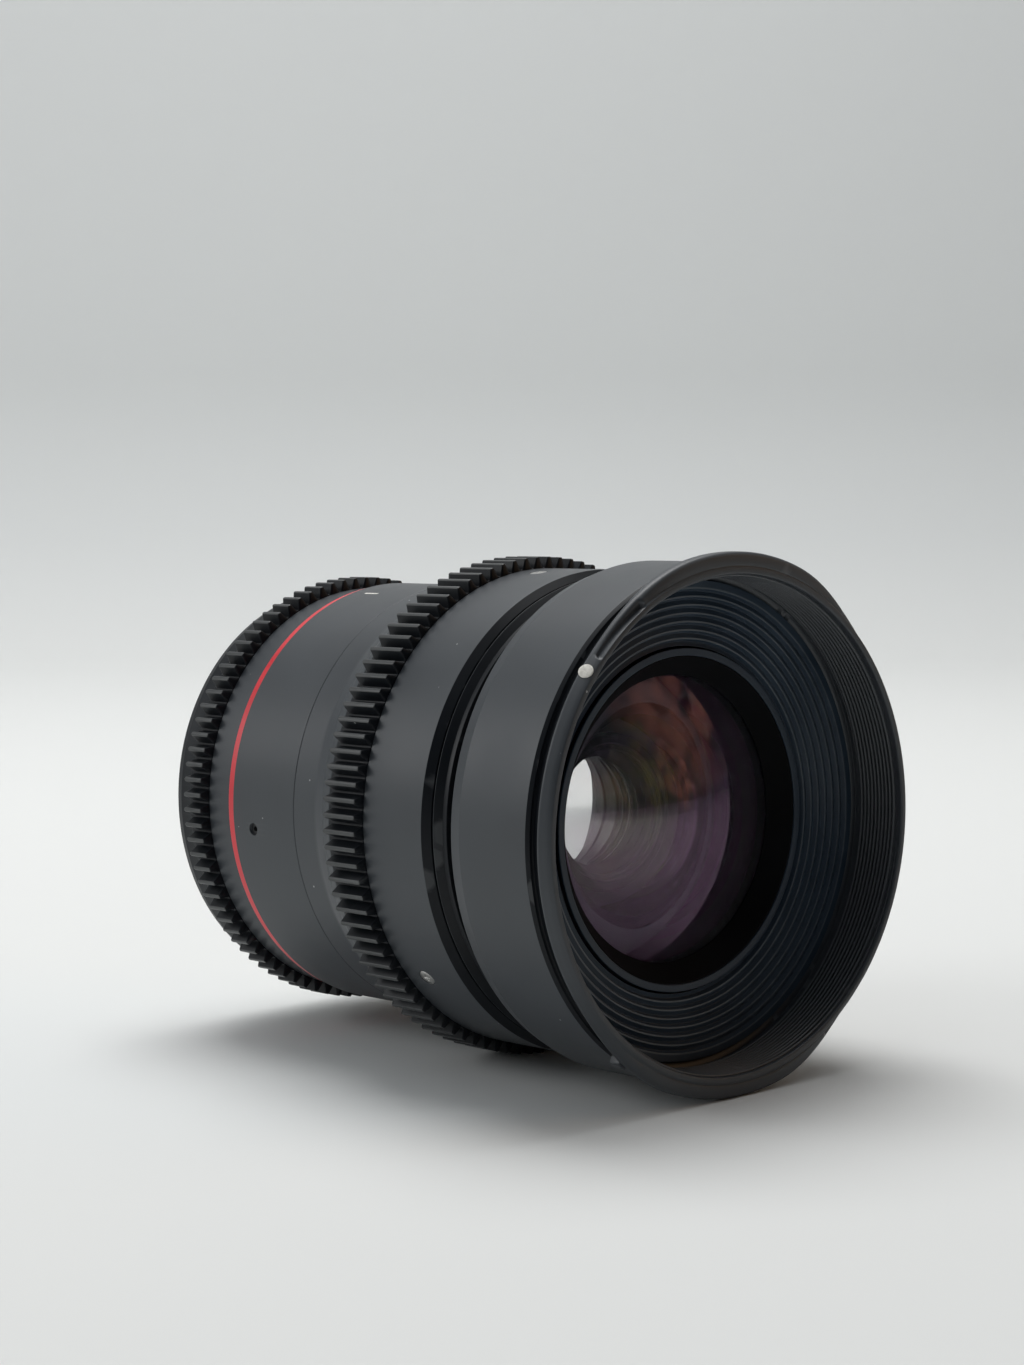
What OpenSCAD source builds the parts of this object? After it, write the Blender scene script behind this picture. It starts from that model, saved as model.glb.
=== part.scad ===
// Cinema prime lens with follow-focus gears on its focus and iris rings.
// The optical axis is Y, the front looks to -Y, +Z is up.
// The origin is the centre of the mount's flange face.

/* [Gears] */
// Module shared by the focus gear and the iris gear
gear_module = 0.8; // [0.7:0.1:0.9]
// Teeth on the focus gear
focus_teeth = 100; // [98:1:106]
// Teeth on the iris gear
iris_teeth = 90; // [89:1:93]
// Axial length of the focus teeth
focus_tooth_w = 8.4; // [6:0.2:12]
// Axial length of the iris teeth
iris_tooth_w = 5.2; // [4:0.2:8]
// Axial run-out at the rear end of each tooth
tooth_runout = 0.7; // [0.4:0.1:2.5]
// Solid rim under the focus teeth
gear_rim = 1.4; // [1:0.1:2]

/* [Outer barrel lengths] */
// From the flange face to the rear edge of the iris gear
iris_rear = 0.8; // [0.5:0.1:2]
// Smooth band behind the iris teeth
iris_rear_band = 4.2; // [3:0.1:6]
// Smooth band in front of the iris teeth
iris_front_band = 6; // [4.5:0.1:8]
// Width of the red ring
red_w = 1.6; // [1:0.1:2.5]
// Length of the fixed barrel between the iris ring and the focus ring
fixed_len = 15.8; // [14:0.2:20]
// Length of the flared rear sleeve of the focus ring
sleeve_len = 12.7; // [10:0.1:16]
// Smooth grip of the focus ring in front of its gear
focus_band_len = 13.7; // [12:0.1:18]
// Length of the bevelled front end of the focus ring
focus_bevel = 1.1; // [0.6:0.1:2]
// Length of the stepped ring in front of the focus ring
step_len = 2; // [1.6:0.1:3]
// Open neck between the stepped ring and the front barrel
neck_len = 4.3; // [3:0.1:6]
// Shallow bevel at the rear of the front barrel
barrel_bevel = 2.7; // [1:0.1:4]
// Front barrel from its rear edge to the hood groove
barrel_len = 17.7; // [14:0.1:22]
// Width of the hood bayonet groove
groove_w = 1.9; // [1.6:0.1:3]
// Thickness of the front rim and its hood lugs
rim_w = 2.2; // [1.8:0.1:3]

/* [Outer barrel radii] */
// Outer radius of the fixed barrel
fixed_r = 35.9; // [35.6:0.1:36.6]
// Step of the red ring below the fixed barrel
red_step = 0.3; // [0.1:0.1:0.5]
// Nominal radius of the filter thread
filter_r = 38.5; // [38:0.5:41]
// Depth of the filter thread
filter_depth = 9.7; // [7:0.1:11]
// Wall outside the filter thread
filter_wall = 1.9; // [1.5:0.1:3]
// How far the hood lugs stand proud of the front barrel
lug_h = 1.6; // [0.8:0.1:2.5]
// Depth of the hood groove
groove_d = 1.1; // [0.6:0.1:1.3]
// Arc of each hood lug in degrees
lug_arc = 66; // [40:1:90]

/* [Mount] */
// Radius of the mount's flange plate
flange_r = 32.2; // [31.6:0.1:32.5]
// Thickness of the mount's flange plate
flange_t = 2.2; // [1.6:0.1:3]
// Outer radius of the bayonet sleeve
bayonet_r = 25.2; // [24:0.1:26]
// Length of the bayonet sleeve behind the flange
bayonet_len = 4.2; // [3.5:0.1:6]
// Wall of the bayonet sleeve
bayonet_wall = 1.6; // [1.2:0.1:2]
// How far the three bayonet lugs stand out
bayonet_lug_h = 1.6; // [1:0.1:2]
// Screws that hold the mount
mount_screw_count = 4; // [3:1:6]

/* [Tubes] */
// Bore of the fixed tube that guides the optics
guide_r = 29; // [28.8:0.1:29.4]
// Wall of the fixed tube
tube_wall = 1.5; // [1.2:0.1:1.7]
// Wall of the focus cam barrel
cam_wall = 1.4; // [1.2:0.1:1.6]
// Wall of the outer rings and sleeves
shell_wall = 1.7; // [1.2:0.1:2]
// Radius of the cam rollers
roller_r = 1.5; // [1:0.1:2]
// Forward travel of the optics at close focus
focus_travel = 3; // [1:0.1:3]
// Turn of the focus ring from infinity to close focus in degrees
focus_throw = 110; // [60:5:110]

/* [Iris] */
// Number of iris blades
blade_count = 8; // [6:1:8]
// Clear radius of the wide open iris
iris_open_r = 12.2; // [10:0.1:12.4]
// Width of an iris blade
blade_w = 3.1; // [2.5:0.1:3.2]
// Thickness of an iris blade
blade_t = 0.1; // [0.06:0.01:0.12]
// Radius of the circle of blade pivots
pivot_r = 16.6; // [16.4:0.1:17]
// Distance from a blade's pivot to its drive pin
crank_r = 4.4; // [4:0.1:4.6]
// Radius of the blade pins
blade_pin_r = 0.5; // [0.4:0.05:0.55]
// Turn of the iris ring from wide open to closed in degrees
iris_throw = 60; // [40:1:64]
// Turn of each blade over that throw in degrees
blade_swing = 38; // [20:1:38]

/* [Fits] */
// Radial clearance of turning and sliding fits
run_fit = 0.05; // [0.02:0.01:0.1]
// Radial clearance of seated pieces
seat_fit = 0.02; // [0.01:0.01:0.05]
// Open gap between rings that turn past each other
ring_gap = 0.3; // [0.3:0.05:0.5]

/* [Hidden] */
$fn = 96;
SPHERE_FN = 240;
EPS = 0.01;

// Axial stations along the outside, measured forward from the flange face
z_iris_teeth = iris_rear + iris_rear_band;
z_iris_band = z_iris_teeth + iris_tooth_w;
z_iris_end = z_iris_band + iris_front_band;
z_red = z_iris_end + ring_gap;
z_fixed = z_red + red_w;
z_fixed_end = z_fixed + fixed_len;
z_sleeve = z_fixed_end + ring_gap;
z_focus_teeth = z_sleeve + sleeve_len;
z_focus_band = z_focus_teeth + focus_tooth_w;
z_focus_bevel = z_focus_band + focus_band_len;
z_focus_end = z_focus_bevel + focus_bevel;
z_step = z_focus_end + ring_gap;
z_step_end = z_step + step_len;
z_barrel = z_step_end + neck_len;
z_groove = z_barrel + barrel_len;
z_rim = z_groove + groove_w;
z_front = z_rim + rim_w;
z_thread = z_front - filter_depth;
baffle_seat = 0.6;
z_baffle = z_thread - baffle_seat;

// Radii of the outside
focus_pitch_r = gear_module * focus_teeth / 2;
iris_pitch_r = gear_module * iris_teeth / 2;
addendum = gear_module;
dedendum = 1.25 * gear_module;
band_step = 0.1;
focus_root_r = focus_pitch_r - dedendum;
iris_root_r = iris_pitch_r - dedendum;
focus_r = focus_root_r - band_step;
iris_band_r = iris_root_r - band_step;
iris_edge_r = iris_band_r - 0.4;
focus_core_r = focus_root_r - gear_rim;
red_r = fixed_r - red_step;
barrel_r = filter_r + filter_wall;
barrel_bevel_h = 0.8;
groove_r = barrel_r - groove_d;
lug_r = barrel_r + lug_h;
seat_r = filter_r - 1;
baffle_r = filter_r - 2.3;

// Radii of the nested tubes
tube_r = guide_r + tube_wall;
cam_in_r = tube_r + run_fit;
cam_r = cam_in_r + cam_wall;
optics_r = guide_r - run_fit;
skirt_in_r = flange_r + 0.8;
fixed_in_r = fixed_r - shell_wall;
sleeve_in_r = fixed_in_r + seat_fit;
focus_in_r = focus_core_r - shell_wall + 0.7;
lever_space = 6;
rear_wall = 1.8;
rear_tube_r = guide_r - lever_space;
rear_tube_in_r = rear_tube_r - rear_wall;
sleeve_r = rear_tube_in_r - seat_fit;
cell_r = guide_r - 2.5;
retainer_r = cell_r - 0.8;
trim_r = cell_r + 0.4;
neck_r = tube_r + 5;
core_r = skirt_in_r + 1;
spigot_r = red_r - 1.6;

// Stations of the inner pieces
z_tube = flange_t;
tube_flange_t = 2.8;
web_t = 2.5;
step_land = 0.9;
step_drop = 1.1;
z_cam = z_sleeve + 2;
z_cam_end = z_focus_end - 3;
z_roller = (z_cam + z_cam_end) / 2 - focus_travel / 2;
cell_recess = 2.9;
z_cell = z_thread - cell_recess;
front_cell_len = 12.6;
middle_len = 13;
inner_web_t = 3;
middle_cell_t = 6;
z_optics_end = z_cell - front_cell_len;
z_middle = z_optics_end - middle_len;
z_middle_end = z_middle + middle_cell_t;
z_inner_web = z_middle - inner_web_t;
rear_gap = 4.3;
rear_retainer_t = 1.2;
z_rear_tube = flange_t + rear_gap;

// Iris stack, from the base plate forward
z_iris_plate = 33;
iris_plate_t = 1;
blade_pitch = blade_t + 0.06;
z_blades = z_iris_plate + iris_plate_t + 0.05;
z_cam_ring = z_blades + blade_count * blade_pitch + 0.05;
cam_ring_t = 1.2;
iris_cover_t = 0.8;
z_iris_cover = z_cam_ring + cam_ring_t + 0.06;
blade_in_r = iris_open_r + 0.2;
blade_out_r = blade_in_r + blade_w;
blade_arc = 104;
cam_ring_r = rear_tube_in_r - run_fit;
cam_ring_in_r = 13;
slot_half_w = blade_pin_r + 0.08;
crank_lead = 100;
lever_r = rear_tube_r + 2.6;
lever_w = 2.6;
lever_t = 1.4;
lever_angle = 205;
z_lever_pin = z_iris_band + 1.5;
lever_pin_r = 1.1;
lever_margin = 4;
z_lever_end = z_cam_ring + cam_ring_t + focus_travel + 1;
z_optics = z_lever_end + 1;

// Angles round the barrel, counted from +X over the top
lug_angles = [90, 270];
dot_angle = 144;
focus_screw_angle = 101.5;
focus_screw_z = z_focus_band + 4.9;
set_screw_angle = 188.3;
set_screw_z = z_fixed + 5.2;
focus_tooth_angle = 1.1;
iris_tooth_angle = 0.9;
roller_angles = [40, 160, 280];
three = [0, 120, 240];
front_screw_angle = 60;
front_screw_z = z_barrel - neck_len / 2;
mount_screw_angles = [for (i = [0:mount_screw_count - 1]) 40 + i * 360 / mount_screw_count];

// Small screws
screw_head_r = 1.4;
screw_r = 0.75;
screw_head_t = screw_head_r - screw_r;
set_screw_r = 1;
mount_screw_r = flange_r - 3.2;
mount_screw_len = 4.4;

// Optical elements, front to rear.
// Each row: rim radius, rim rear, rim front, front curve, rear curve.
// A positive curve bulges out of the element, a negative one is a hollow.
z_e1 = z_cell - 1.3;
elements = [
    [cell_r - 3.1, z_e1 - 5.3, z_e1, 72, -40],
    [cell_r - 7.9, z_e1 - 11.8, z_e1 - 7.4, 60, -28],
    [cell_r - 10.9, z_middle + 1.6, z_middle + 4.2, 40, 90],
    [rear_tube_in_r - 6.6, z_middle - 7.2, z_middle - 5, 60, -60],
    [rear_tube_in_r - 7, z_middle - 12.8, z_middle - 10.6, 44, -52],
    [rear_tube_in_r - 7.4, z_middle - 18.4, z_middle - 16.4, 40, 60],
    [rear_tube_in_r - 7.6, z_iris_plate - 5.4, z_iris_plate - 2.4, -40, 60],
    [rear_tube_in_r - 7, z_iris_plate - 11.4, z_iris_plate - 9.4, 60, 70],
    [rear_tube_in_r - 6.4, z_iris_plate - 17.6, z_iris_plate - 15.4, 62, 66],
    [rear_tube_in_r - 5.8, z_iris_plate - 23.8, z_iris_plate - 21.2, 80, 90]];
element_count = len(elements);
hollow_land = 2.2;
seat_w = 1.2;
web_bore_r = elements[2][0] + 1.9;
shield_bore_r = elements[element_count - 1][0] + 2;
retainer_in_r = elements[0][0] - hollow_land;

black = "#2b2e31";
deep_black = "#17191b";
gear_black = "#1d201f";
steel = "silver";
glass = [0.72, 0.82, 0.86, 0.5];

function sag(curve, r) = abs(curve) - sqrt(curve * curve - r * r);
function polar(r, a) = [r * cos(a), r * sin(a)];
function turn(p, a) = [p[0] * cos(a) - p[1] * sin(a), p[0] * sin(a) + p[1] * cos(a)];

// Local z runs forward along the optical axis
module on_axis() {
    rotate([90, 0, 0]) children();
}

module lift(z) {
    translate([0, 0, z]) children();
}

// A piece turned on a lathe from its half section of radius and z
module turned(section) {
    rotate_extrude() polygon(section);
}

module turned_arc(section, start, arc) {
    rotate([0, 0, start]) rotate_extrude(angle = arc) polygon(section);
}

module tube(r_out, r_in, z0, z1) {
    turned([[r_in, z0], [r_out, z0], [r_out, z1], [r_in, z1]]);
}

// A round cutter or pin that points outward from the axis
module radial_rod(r, from, to, z, a) {
    rotate([0, 0, a]) translate([from, 0, z]) rotate([0, 90, 0]) cylinder(r = r, h = to - from);
}

// Wedge of a ring between two angles
module ring_wedge(r_in, r_out, z0, z1, start, arc) {
    turned_arc([[r_in, z0], [r_out, z0], [r_out, z1], [r_in, z1]], start, arc);
}

// Outline of a gear with straight 20 degree flanks
function tooth_corners(teeth, pitch, k, first) =
    let (mid = first + k * 360 / teeth,
         half = 90 / teeth,
         tip = half - addendum * tan(20) / pitch * 180 / PI,
         root = half + dedendum * tan(20) / pitch * 180 / PI)
    [polar(pitch - dedendum, mid - root), polar(pitch + addendum, mid - tip),
     polar(pitch + addendum, mid + tip), polar(pitch - dedendum, mid + root)];

module gear_outline(teeth, pitch, first) {
    polygon([for (k = [0:teeth - 1]) each tooth_corners(teeth, pitch, k, first)]);
}

// Toothed ring whose teeth run out into the rim at the rear end
module gear_ring(teeth, pitch, first, bore, z0, z1) {
    tip = pitch + addendum;
    root = pitch - dedendum;
    intersection() {
        difference() {
            lift(z0) linear_extrude(z1 - z0) gear_outline(teeth, pitch, first);
            lift(z0 - 1) cylinder(r = bore, h = z1 - z0 + 2);
        }
        turned([[0, z0 - 1], [root - 0.2, z0 - 1], [root - 0.2, z0], [tip + EPS, z0 + tooth_runout],
                [tip + EPS, z1 + 1], [0, z1 + 1]]);
    }
}

// Countersunk screw with a cross recess, along a radius
module radial_screw(head_r, shank_r, top, depth, z, a) {
    head_t = head_r - shank_r;
    rotate([0, 0, a]) translate([top, 0, z]) rotate([0, 90, 0]) difference() {
        union() {
            lift(-head_t) cylinder(r1 = shank_r, r2 = head_r, h = head_t);
            lift(-depth) cylinder(r = shank_r, h = depth - head_t + EPS);
        }
        for (q = [0, 90]) rotate([0, 0, q])
            translate([-head_r * 0.6, -head_r * 0.11, -head_t * 0.6])
                cube([head_r * 1.2, head_r * 0.22, 2]);
    }
}

module radial_screw_hole(head_r, shank_r, top, depth, z, a) {
    head_t = head_r - shank_r;
    rotate([0, 0, a]) translate([top, 0, z]) rotate([0, 90, 0]) {
        lift(-head_t) cylinder(r1 = shank_r + seat_fit, r2 = head_r + seat_fit, h = head_t);
        lift(-EPS) cylinder(r = head_r + seat_fit, h = 3);
        lift(-depth - 0.1) cylinder(r = shank_r + seat_fit, h = depth + 0.1);
    }
}

// Chromed bayonet plate with three lugs behind the flange
module mount_plate() {
    in_r = bayonet_r - bayonet_wall;
    lug_t = 1.5;
    color(steel) on_axis() difference() {
        union() {
            turned([[in_r, -bayonet_len], [bayonet_r - 0.3, -bayonet_len], [bayonet_r, 0.3 - bayonet_len],
                    [bayonet_r, 0], [flange_r - 0.3, 0], [flange_r, 0.3], [flange_r, flange_t],
                    [in_r, flange_t]]);
            for (a = three)
                ring_wedge(bayonet_r - 0.2, bayonet_r + bayonet_lug_h, -bayonet_len, lug_t - bayonet_len,
                           a + 65, 50);
        }
        for (a = mount_screw_angles)
            rotate([0, 0, a]) translate([mount_screw_r, 0, 0]) {
                lift(-EPS)
                    cylinder(r1 = screw_head_r + seat_fit, r2 = screw_r + seat_fit, h = screw_head_t);
                cylinder(r = screw_r + seat_fit, h = flange_t + 1);
            }
    }
}

// Four countersunk screws through the mount into the fixed tube
module mount_screws() {
    color(steel) on_axis()
        for (a = mount_screw_angles)
            rotate([0, 0, a]) translate([mount_screw_r, 0, 0]) difference() {
                union() {
                    cylinder(r1 = screw_head_r, r2 = screw_r, h = screw_head_t);
                    cylinder(r = screw_r, h = mount_screw_len);
                }
                for (q = [0, 90]) rotate([0, 0, q])
                    translate([-screw_head_r * 0.6, -0.15, -1]) cube([screw_head_r * 1.2, 0.3, 1.5]);
            }
}

// Black light shield inside the mount, round the rear element
module rear_baffle() {
    in_r = bayonet_r - bayonet_wall - seat_fit;
    color(deep_black) on_axis()
        turned([[shield_bore_r, 0.4], [in_r - 1.2, -1.6], [in_r, -1.6], [in_r, 1.8], [in_r - 1, 1.8],
                [shield_bore_r, 1.4]]);
}

// Fixed tube: guides the optics, carries the cam barrel and both rings
module fixed_tube() {
    flange_out = flange_r - 0.2;
    color(black) on_axis() difference() {
        union() {
            tube(tube_r, guide_r, z_tube, z_barrel + web_t);
            turned([[bayonet_r - bayonet_wall, z_tube], [flange_out, z_tube],
                    [flange_out, z_tube + tube_flange_t], [guide_r, z_tube + tube_flange_t],
                    [bayonet_r - bayonet_wall, z_tube + 1.2]]);
        }
        for (a = mount_screw_angles)
            rotate([0, 0, a]) translate([mount_screw_r, 0, 0])
                cylinder(r = screw_r + seat_fit, h = mount_screw_len + 0.2);
        for (a = roller_angles) straight_slot(a);
        lever_window();
        for (a = three) {
            radial_rod(set_screw_r + seat_fit, tube_r - 0.8, tube_r + 2, set_screw_z, set_screw_angle + a);
            radial_rod(screw_r + seat_fit, guide_r - 1, tube_r + 2, front_screw_z, front_screw_angle + a);
        }
    }
}

// Axial slot that keeps a cam roller from turning
module straight_slot(a) {
    half = roller_r + run_fit;
    rotate([0, 0, a]) translate([guide_r - 2, -half, z_roller])
        cube([tube_wall + 4, 2 * half, focus_travel]);
    for (z = [z_roller, z_roller + focus_travel]) radial_rod(half, guide_r - 2, tube_r + 2, z, a);
}

// Window through which the iris lever's pin passes
module lever_window() {
    half = lever_pin_r + ring_gap;
    ring_wedge(guide_r - 2, tube_r + 2, z_lever_pin - half, z_lever_pin + half,
               lever_angle - lever_margin, iris_throw + 2 * lever_margin);
}

// Outer sleeve between the iris ring and the focus ring
module fixed_barrel() {
    land = 9;
    color(black) on_axis() difference() {
        turned([[tube_r + seat_fit, z_red], [spigot_r, z_red], [spigot_r, z_fixed],
                [fixed_r - 0.15, z_fixed], [fixed_r, z_fixed + 0.15], [fixed_r, z_fixed_end - 0.2],
                [fixed_r - 0.2, z_fixed_end], [fixed_in_r, z_fixed_end], [fixed_in_r, z_fixed + land],
                [tube_r + seat_fit, z_fixed + land]]);
        for (a = three)
            radial_rod(set_screw_r + seat_fit, tube_r - 1, fixed_r + 1, set_screw_z, set_screw_angle + a);
    }
}

// Thin red ring seated on the spigot of the fixed barrel
module red_ring() {
    edge = 0.12;
    color("crimson") on_axis()
        turned([[spigot_r + seat_fit, z_red], [red_r - edge, z_red], [red_r, z_red + edge],
                [red_r, z_fixed - edge], [red_r - edge, z_fixed], [spigot_r + seat_fit, z_fixed]]);
}

// Grub screws that pin the fixed barrel to the fixed tube
module barrel_set_screws() {
    sink = 0.5;
    socket = 0.5;
    color(deep_black) on_axis()
        for (a = three) difference() {
            radial_rod(set_screw_r, tube_r - 0.8, fixed_r - sink, set_screw_z, set_screw_angle + a);
            rotate([0, 0, set_screw_angle + a]) translate([fixed_r - sink - 1.2, 0, set_screw_z])
                rotate([0, 90, 0]) cylinder(r = socket, h = 3, $fn = 6);
        }
}

// Fixed ring with a bevelled step in front of the focus ring
module stepped_ring() {
    top = focus_r - focus_bevel;
    color(deep_black) on_axis()
        turned([[cam_r + 0.6, z_step], [top - 0.2, z_step], [top, z_step + 0.15],
                [top - step_drop, z_step_end - step_land], [top - step_drop, z_step_end],
                [tube_r + seat_fit, z_step_end], [tube_r + seat_fit, z_step_end - 1.2],
                [cam_r + 0.6, z_step_end - 1.2]]);
}

// Front barrel: filter thread inside, hood bayonet outside
module front_barrel() {
    lip = 0.9;
    color(black) on_axis() difference() {
        union() {
            turned([[tube_r + seat_fit, z_step_end], [neck_r, z_step_end], [neck_r, z_barrel],
                    [barrel_r - barrel_bevel_h, z_barrel], [barrel_r, z_barrel + barrel_bevel],
                    [barrel_r, z_groove - 0.6], [barrel_r - 0.4, z_groove], [groove_r, z_groove],
                    [groove_r, z_rim], [barrel_r, z_rim], [barrel_r, z_rim + 0.3],
                    [filter_r + 0.5, z_front], [filter_r + 0.3, z_front], [filter_r, z_front - 0.3],
                    [filter_r, z_thread], [seat_r, z_thread], [seat_r, z_baffle], [baffle_r, z_baffle],
                    [baffle_r, z_barrel + web_t], [tube_r + seat_fit, z_barrel + web_t]]);
            for (a = lug_angles) hood_lug(a, lip);
        }
        for (a = lug_angles) hood_entry(a + lug_arc / 2, lip);
        for (a = three)
            radial_screw_hole(screw_head_r, screw_r, neck_r, neck_r - guide_r, front_screw_z,
                              front_screw_angle + a);
        dot_pocket(seat_fit);
    }
}

// Hood lug with rounded ends, and the stop that closes the groove at one end
module hood_lug(a, lip) {
    stop_arc = 3;
    lug_top = z_front - 0.15;
    turned_arc([[groove_r - 0.3, z_rim], [lug_r - 0.3, z_rim], [lug_r, z_rim + 0.3], [lug_r, lug_top - 0.8],
                [lug_r - 0.8, lug_top], [filter_r + lip, lug_top], [filter_r + lip, z_rim + 0.6]],
               a - lug_arc / 2, lug_arc);
    ring_wedge(groove_r - 0.3, lug_r - 0.3, z_groove - 0.2, z_rim + 0.3, a - lug_arc / 2, stop_arc);
}

// Shallow cut in the rim beside a lug, where the hood's tab drops in
module hood_entry(a, lip) {
    entry_arc = 17;
    ring_wedge(filter_r + lip, lug_r + 1, z_front - 0.9, z_front + 1, a + 0.6, entry_arc);
}

// Screws under the neck that hold the front barrel to the fixed tube
module front_barrel_screws() {
    color(steel) on_axis()
        for (a = three)
            radial_screw(screw_head_r, screw_r, neck_r, neck_r - guide_r - 0.3, front_screw_z,
                         front_screw_angle + a);
}

// Conical ridged light baffle inside the front barrel
module ridged_baffle() {
    ridges = 7;
    outer = baffle_r + 0.2;
    inner = trim_r + 0.3;
    fall = 2.5;
    sink = 0.2;
    spigot = 1.2;
    groove = 0.7;
    pitch_r = (outer - inner) / ridges;
    pitch_z = fall / ridges;
    flange = seat_r - seat_fit;
    z_top = z_thread - sink;
    crests = [for (i = [0:ridges - 1]) each [
        [outer - i * pitch_r, z_top - i * pitch_z],
        [outer - i * pitch_r - 0.25, z_top - i * pitch_z],
        [outer - (i + 0.45) * pitch_r, z_top - i * pitch_z - groove]]];
    color(deep_black) on_axis()
        turned(concat([[flange, z_baffle], [flange, z_top]], crests,
                      [[inner, z_top - fall], [inner, z_top - fall - 0.9],
                       [baffle_r - seat_fit, z_baffle - spigot], [baffle_r - seat_fit, z_baffle]]));
}

// White alignment dot let into the bevel of the front rim
module hood_dot() {
    color("white") on_axis() dot_pocket(0);
}

module dot_pocket(gap) {
    dot_r = 1.15;
    dot_t = 0.35;
    rim_run = barrel_r - filter_r - 0.5;
    rim_rise = rim_w - 0.3;
    tilt = atan2(rim_rise, rim_run);
    rotate([0, 0, dot_angle]) translate([barrel_r - rim_run / 2, 0, z_rim + 0.3 + rim_rise / 2])
        rotate([0, tilt, 0]) lift(-dot_t - gap)
            cylinder(r = dot_r + gap, h = dot_t + gap + (gap > 0 ? 1 : 0));
}

// Focus ring: grip band in front, core under the gear, land on the cam barrel
module focus_ring() {
    land_front = focus_screw_z + 3;
    land_rear = focus_screw_z - 3;
    color(black) on_axis() difference() {
        turned([[focus_in_r, z_focus_teeth], [focus_core_r, z_focus_teeth], [focus_core_r, z_focus_band],
                [focus_r, z_focus_band], [focus_r, z_focus_bevel], [focus_r - focus_bevel, z_focus_end],
                [focus_in_r, z_focus_end], [focus_in_r, land_front], [cam_r + seat_fit, land_front],
                [cam_r + seat_fit, land_rear], [focus_in_r, land_rear]]);
        for (a = three)
            radial_screw_hole(screw_head_r, screw_r, focus_r, focus_r - cam_in_r, focus_screw_z,
                              focus_screw_angle + a);
    }
}

// Toothed ring slid over the core of the focus ring
module focus_gear() {
    color(gear_black) on_axis()
        gear_ring(focus_teeth, focus_pitch_r, focus_tooth_angle, focus_core_r + seat_fit, z_focus_teeth,
                  z_focus_band);
}

// Flared sleeve that closes the focus ring behind its gear
module focus_sleeve() {
    flare = sleeve_len * 0.55;
    lap_r = focus_in_r - seat_fit;
    lap = 3;
    color(black) on_axis()
        turned([[sleeve_in_r, z_sleeve], [fixed_r - 0.2, z_sleeve], [fixed_r, z_sleeve + 0.2],
                [fixed_r + 0.1, z_focus_teeth - flare], [fixed_r + 0.9, z_focus_teeth - flare * 0.6],
                [focus_r - 0.35, z_focus_teeth - flare * 0.2], [focus_r, z_focus_teeth - 0.2],
                [focus_r, z_focus_teeth], [lap_r, z_focus_teeth], [lap_r, z_focus_teeth + lap],
                [lap_r - 1, z_focus_teeth + lap], [sleeve_in_r, z_focus_teeth - 4]]);
}

// Three countersunk screws that tie the focus ring to the cam barrel
module focus_screws() {
    color(steel) on_axis()
        for (a = three)
            radial_screw(screw_head_r, screw_r, focus_r, focus_r - cam_in_r - 0.2, focus_screw_z,
                         focus_screw_angle + a);
}

// Cam barrel with three helical slots that drive the optics fore and aft
module cam_barrel() {
    color("dimgray") on_axis() difference() {
        tube(cam_r, cam_in_r, z_cam, z_cam_end);
        for (a = roller_angles) helical_slot(a);
        for (a = three)
            radial_rod(screw_r + seat_fit, cam_in_r - 1, cam_r + 1, focus_screw_z, focus_screw_angle + a);
    }
}

// The slot leads backwards round the barrel as the ring turns forwards.
// Tilted arcs end to end follow the helix.
module helical_slot(a) {
    half = roller_r + run_fit;
    arcs = 2;
    r0 = cam_in_r - 1;
    r1 = cam_r + 1;
    arc = focus_throw / arcs;
    tilt = asin(focus_travel / arcs / 2 / sin(arc / 2) / cam_in_r);
    for (k = [0:arcs - 1])
        lift(z_roller + (k + 0.5) / arcs * focus_travel) rotate([0, 0, a - (k + 0.5) * arc])
            rotate([-tilt, 0, 0]) ring_wedge(r0, r1, -half, half, -arc / 2, arc);
    for (t = [0:arcs])
        radial_rod(half, r0, r1, z_roller + t / arcs * focus_travel, a - t * arc);
}

// Iris ring: front band and the land that turns on the fixed tube
module iris_ring() {
    z_core = z_iris_teeth + 1;
    z_land = z_lever_pin - 3;
    lever_seat = lever_pin_r + seat_fit;
    color(black) on_axis() difference() {
        turned([[core_r - 1.2, z_core], [core_r, z_core], [core_r, z_iris_band], [iris_band_r, z_iris_band],
                [iris_band_r, z_iris_end - 0.2], [iris_band_r - 0.2, z_iris_end],
                [tube_r + run_fit, z_iris_end], [tube_r + run_fit, z_land], [core_r - 1.2, z_land]]);
        radial_rod(lever_seat, tube_r - 1, iris_band_r - 1.4, z_lever_pin, lever_angle);
    }
}

// Iris gear with its smooth rear skirt
module iris_gear() {
    bore = core_r + seat_fit;
    z_core = z_iris_teeth + 1;
    color(gear_black) on_axis() union() {
        difference() {
            gear_ring(iris_teeth, iris_pitch_r, iris_tooth_angle, bore, z_iris_teeth, z_iris_band);
            lift(z_iris_teeth - 1) cylinder(r = bore, h = iris_tooth_w + 2);
        }
        turned([[skirt_in_r, iris_rear + 0.3], [skirt_in_r + 0.3, iris_rear], [iris_edge_r - 0.3, iris_rear],
                [iris_edge_r, iris_rear + 0.3], [iris_band_r, iris_rear + 1.6], [iris_band_r, z_core],
                [bore, z_core], [bore, z_core - seat_fit], [skirt_in_r, z_core - seat_fit]]);
    }
}

// Lever bar inside the fixed tube, on a pin through the iris ring
module iris_lever() {
    bar_start = z_lever_pin - 2;
    color(steel) on_axis() difference() {
        union() {
            rotate([0, 0, lever_angle]) translate([lever_r - lever_t / 2, -lever_w / 2, bar_start])
                cube([lever_t, lever_w, z_lever_end - bar_start]);
            radial_rod(lever_pin_r, lever_r, iris_band_r - 1.5, z_lever_pin, lever_angle);
        }
        radial_rod(screw_r / 2 + seat_fit, lever_r - lever_t, lever_r + 2.5, z_lever_pin, lever_angle);
    }
}

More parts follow.
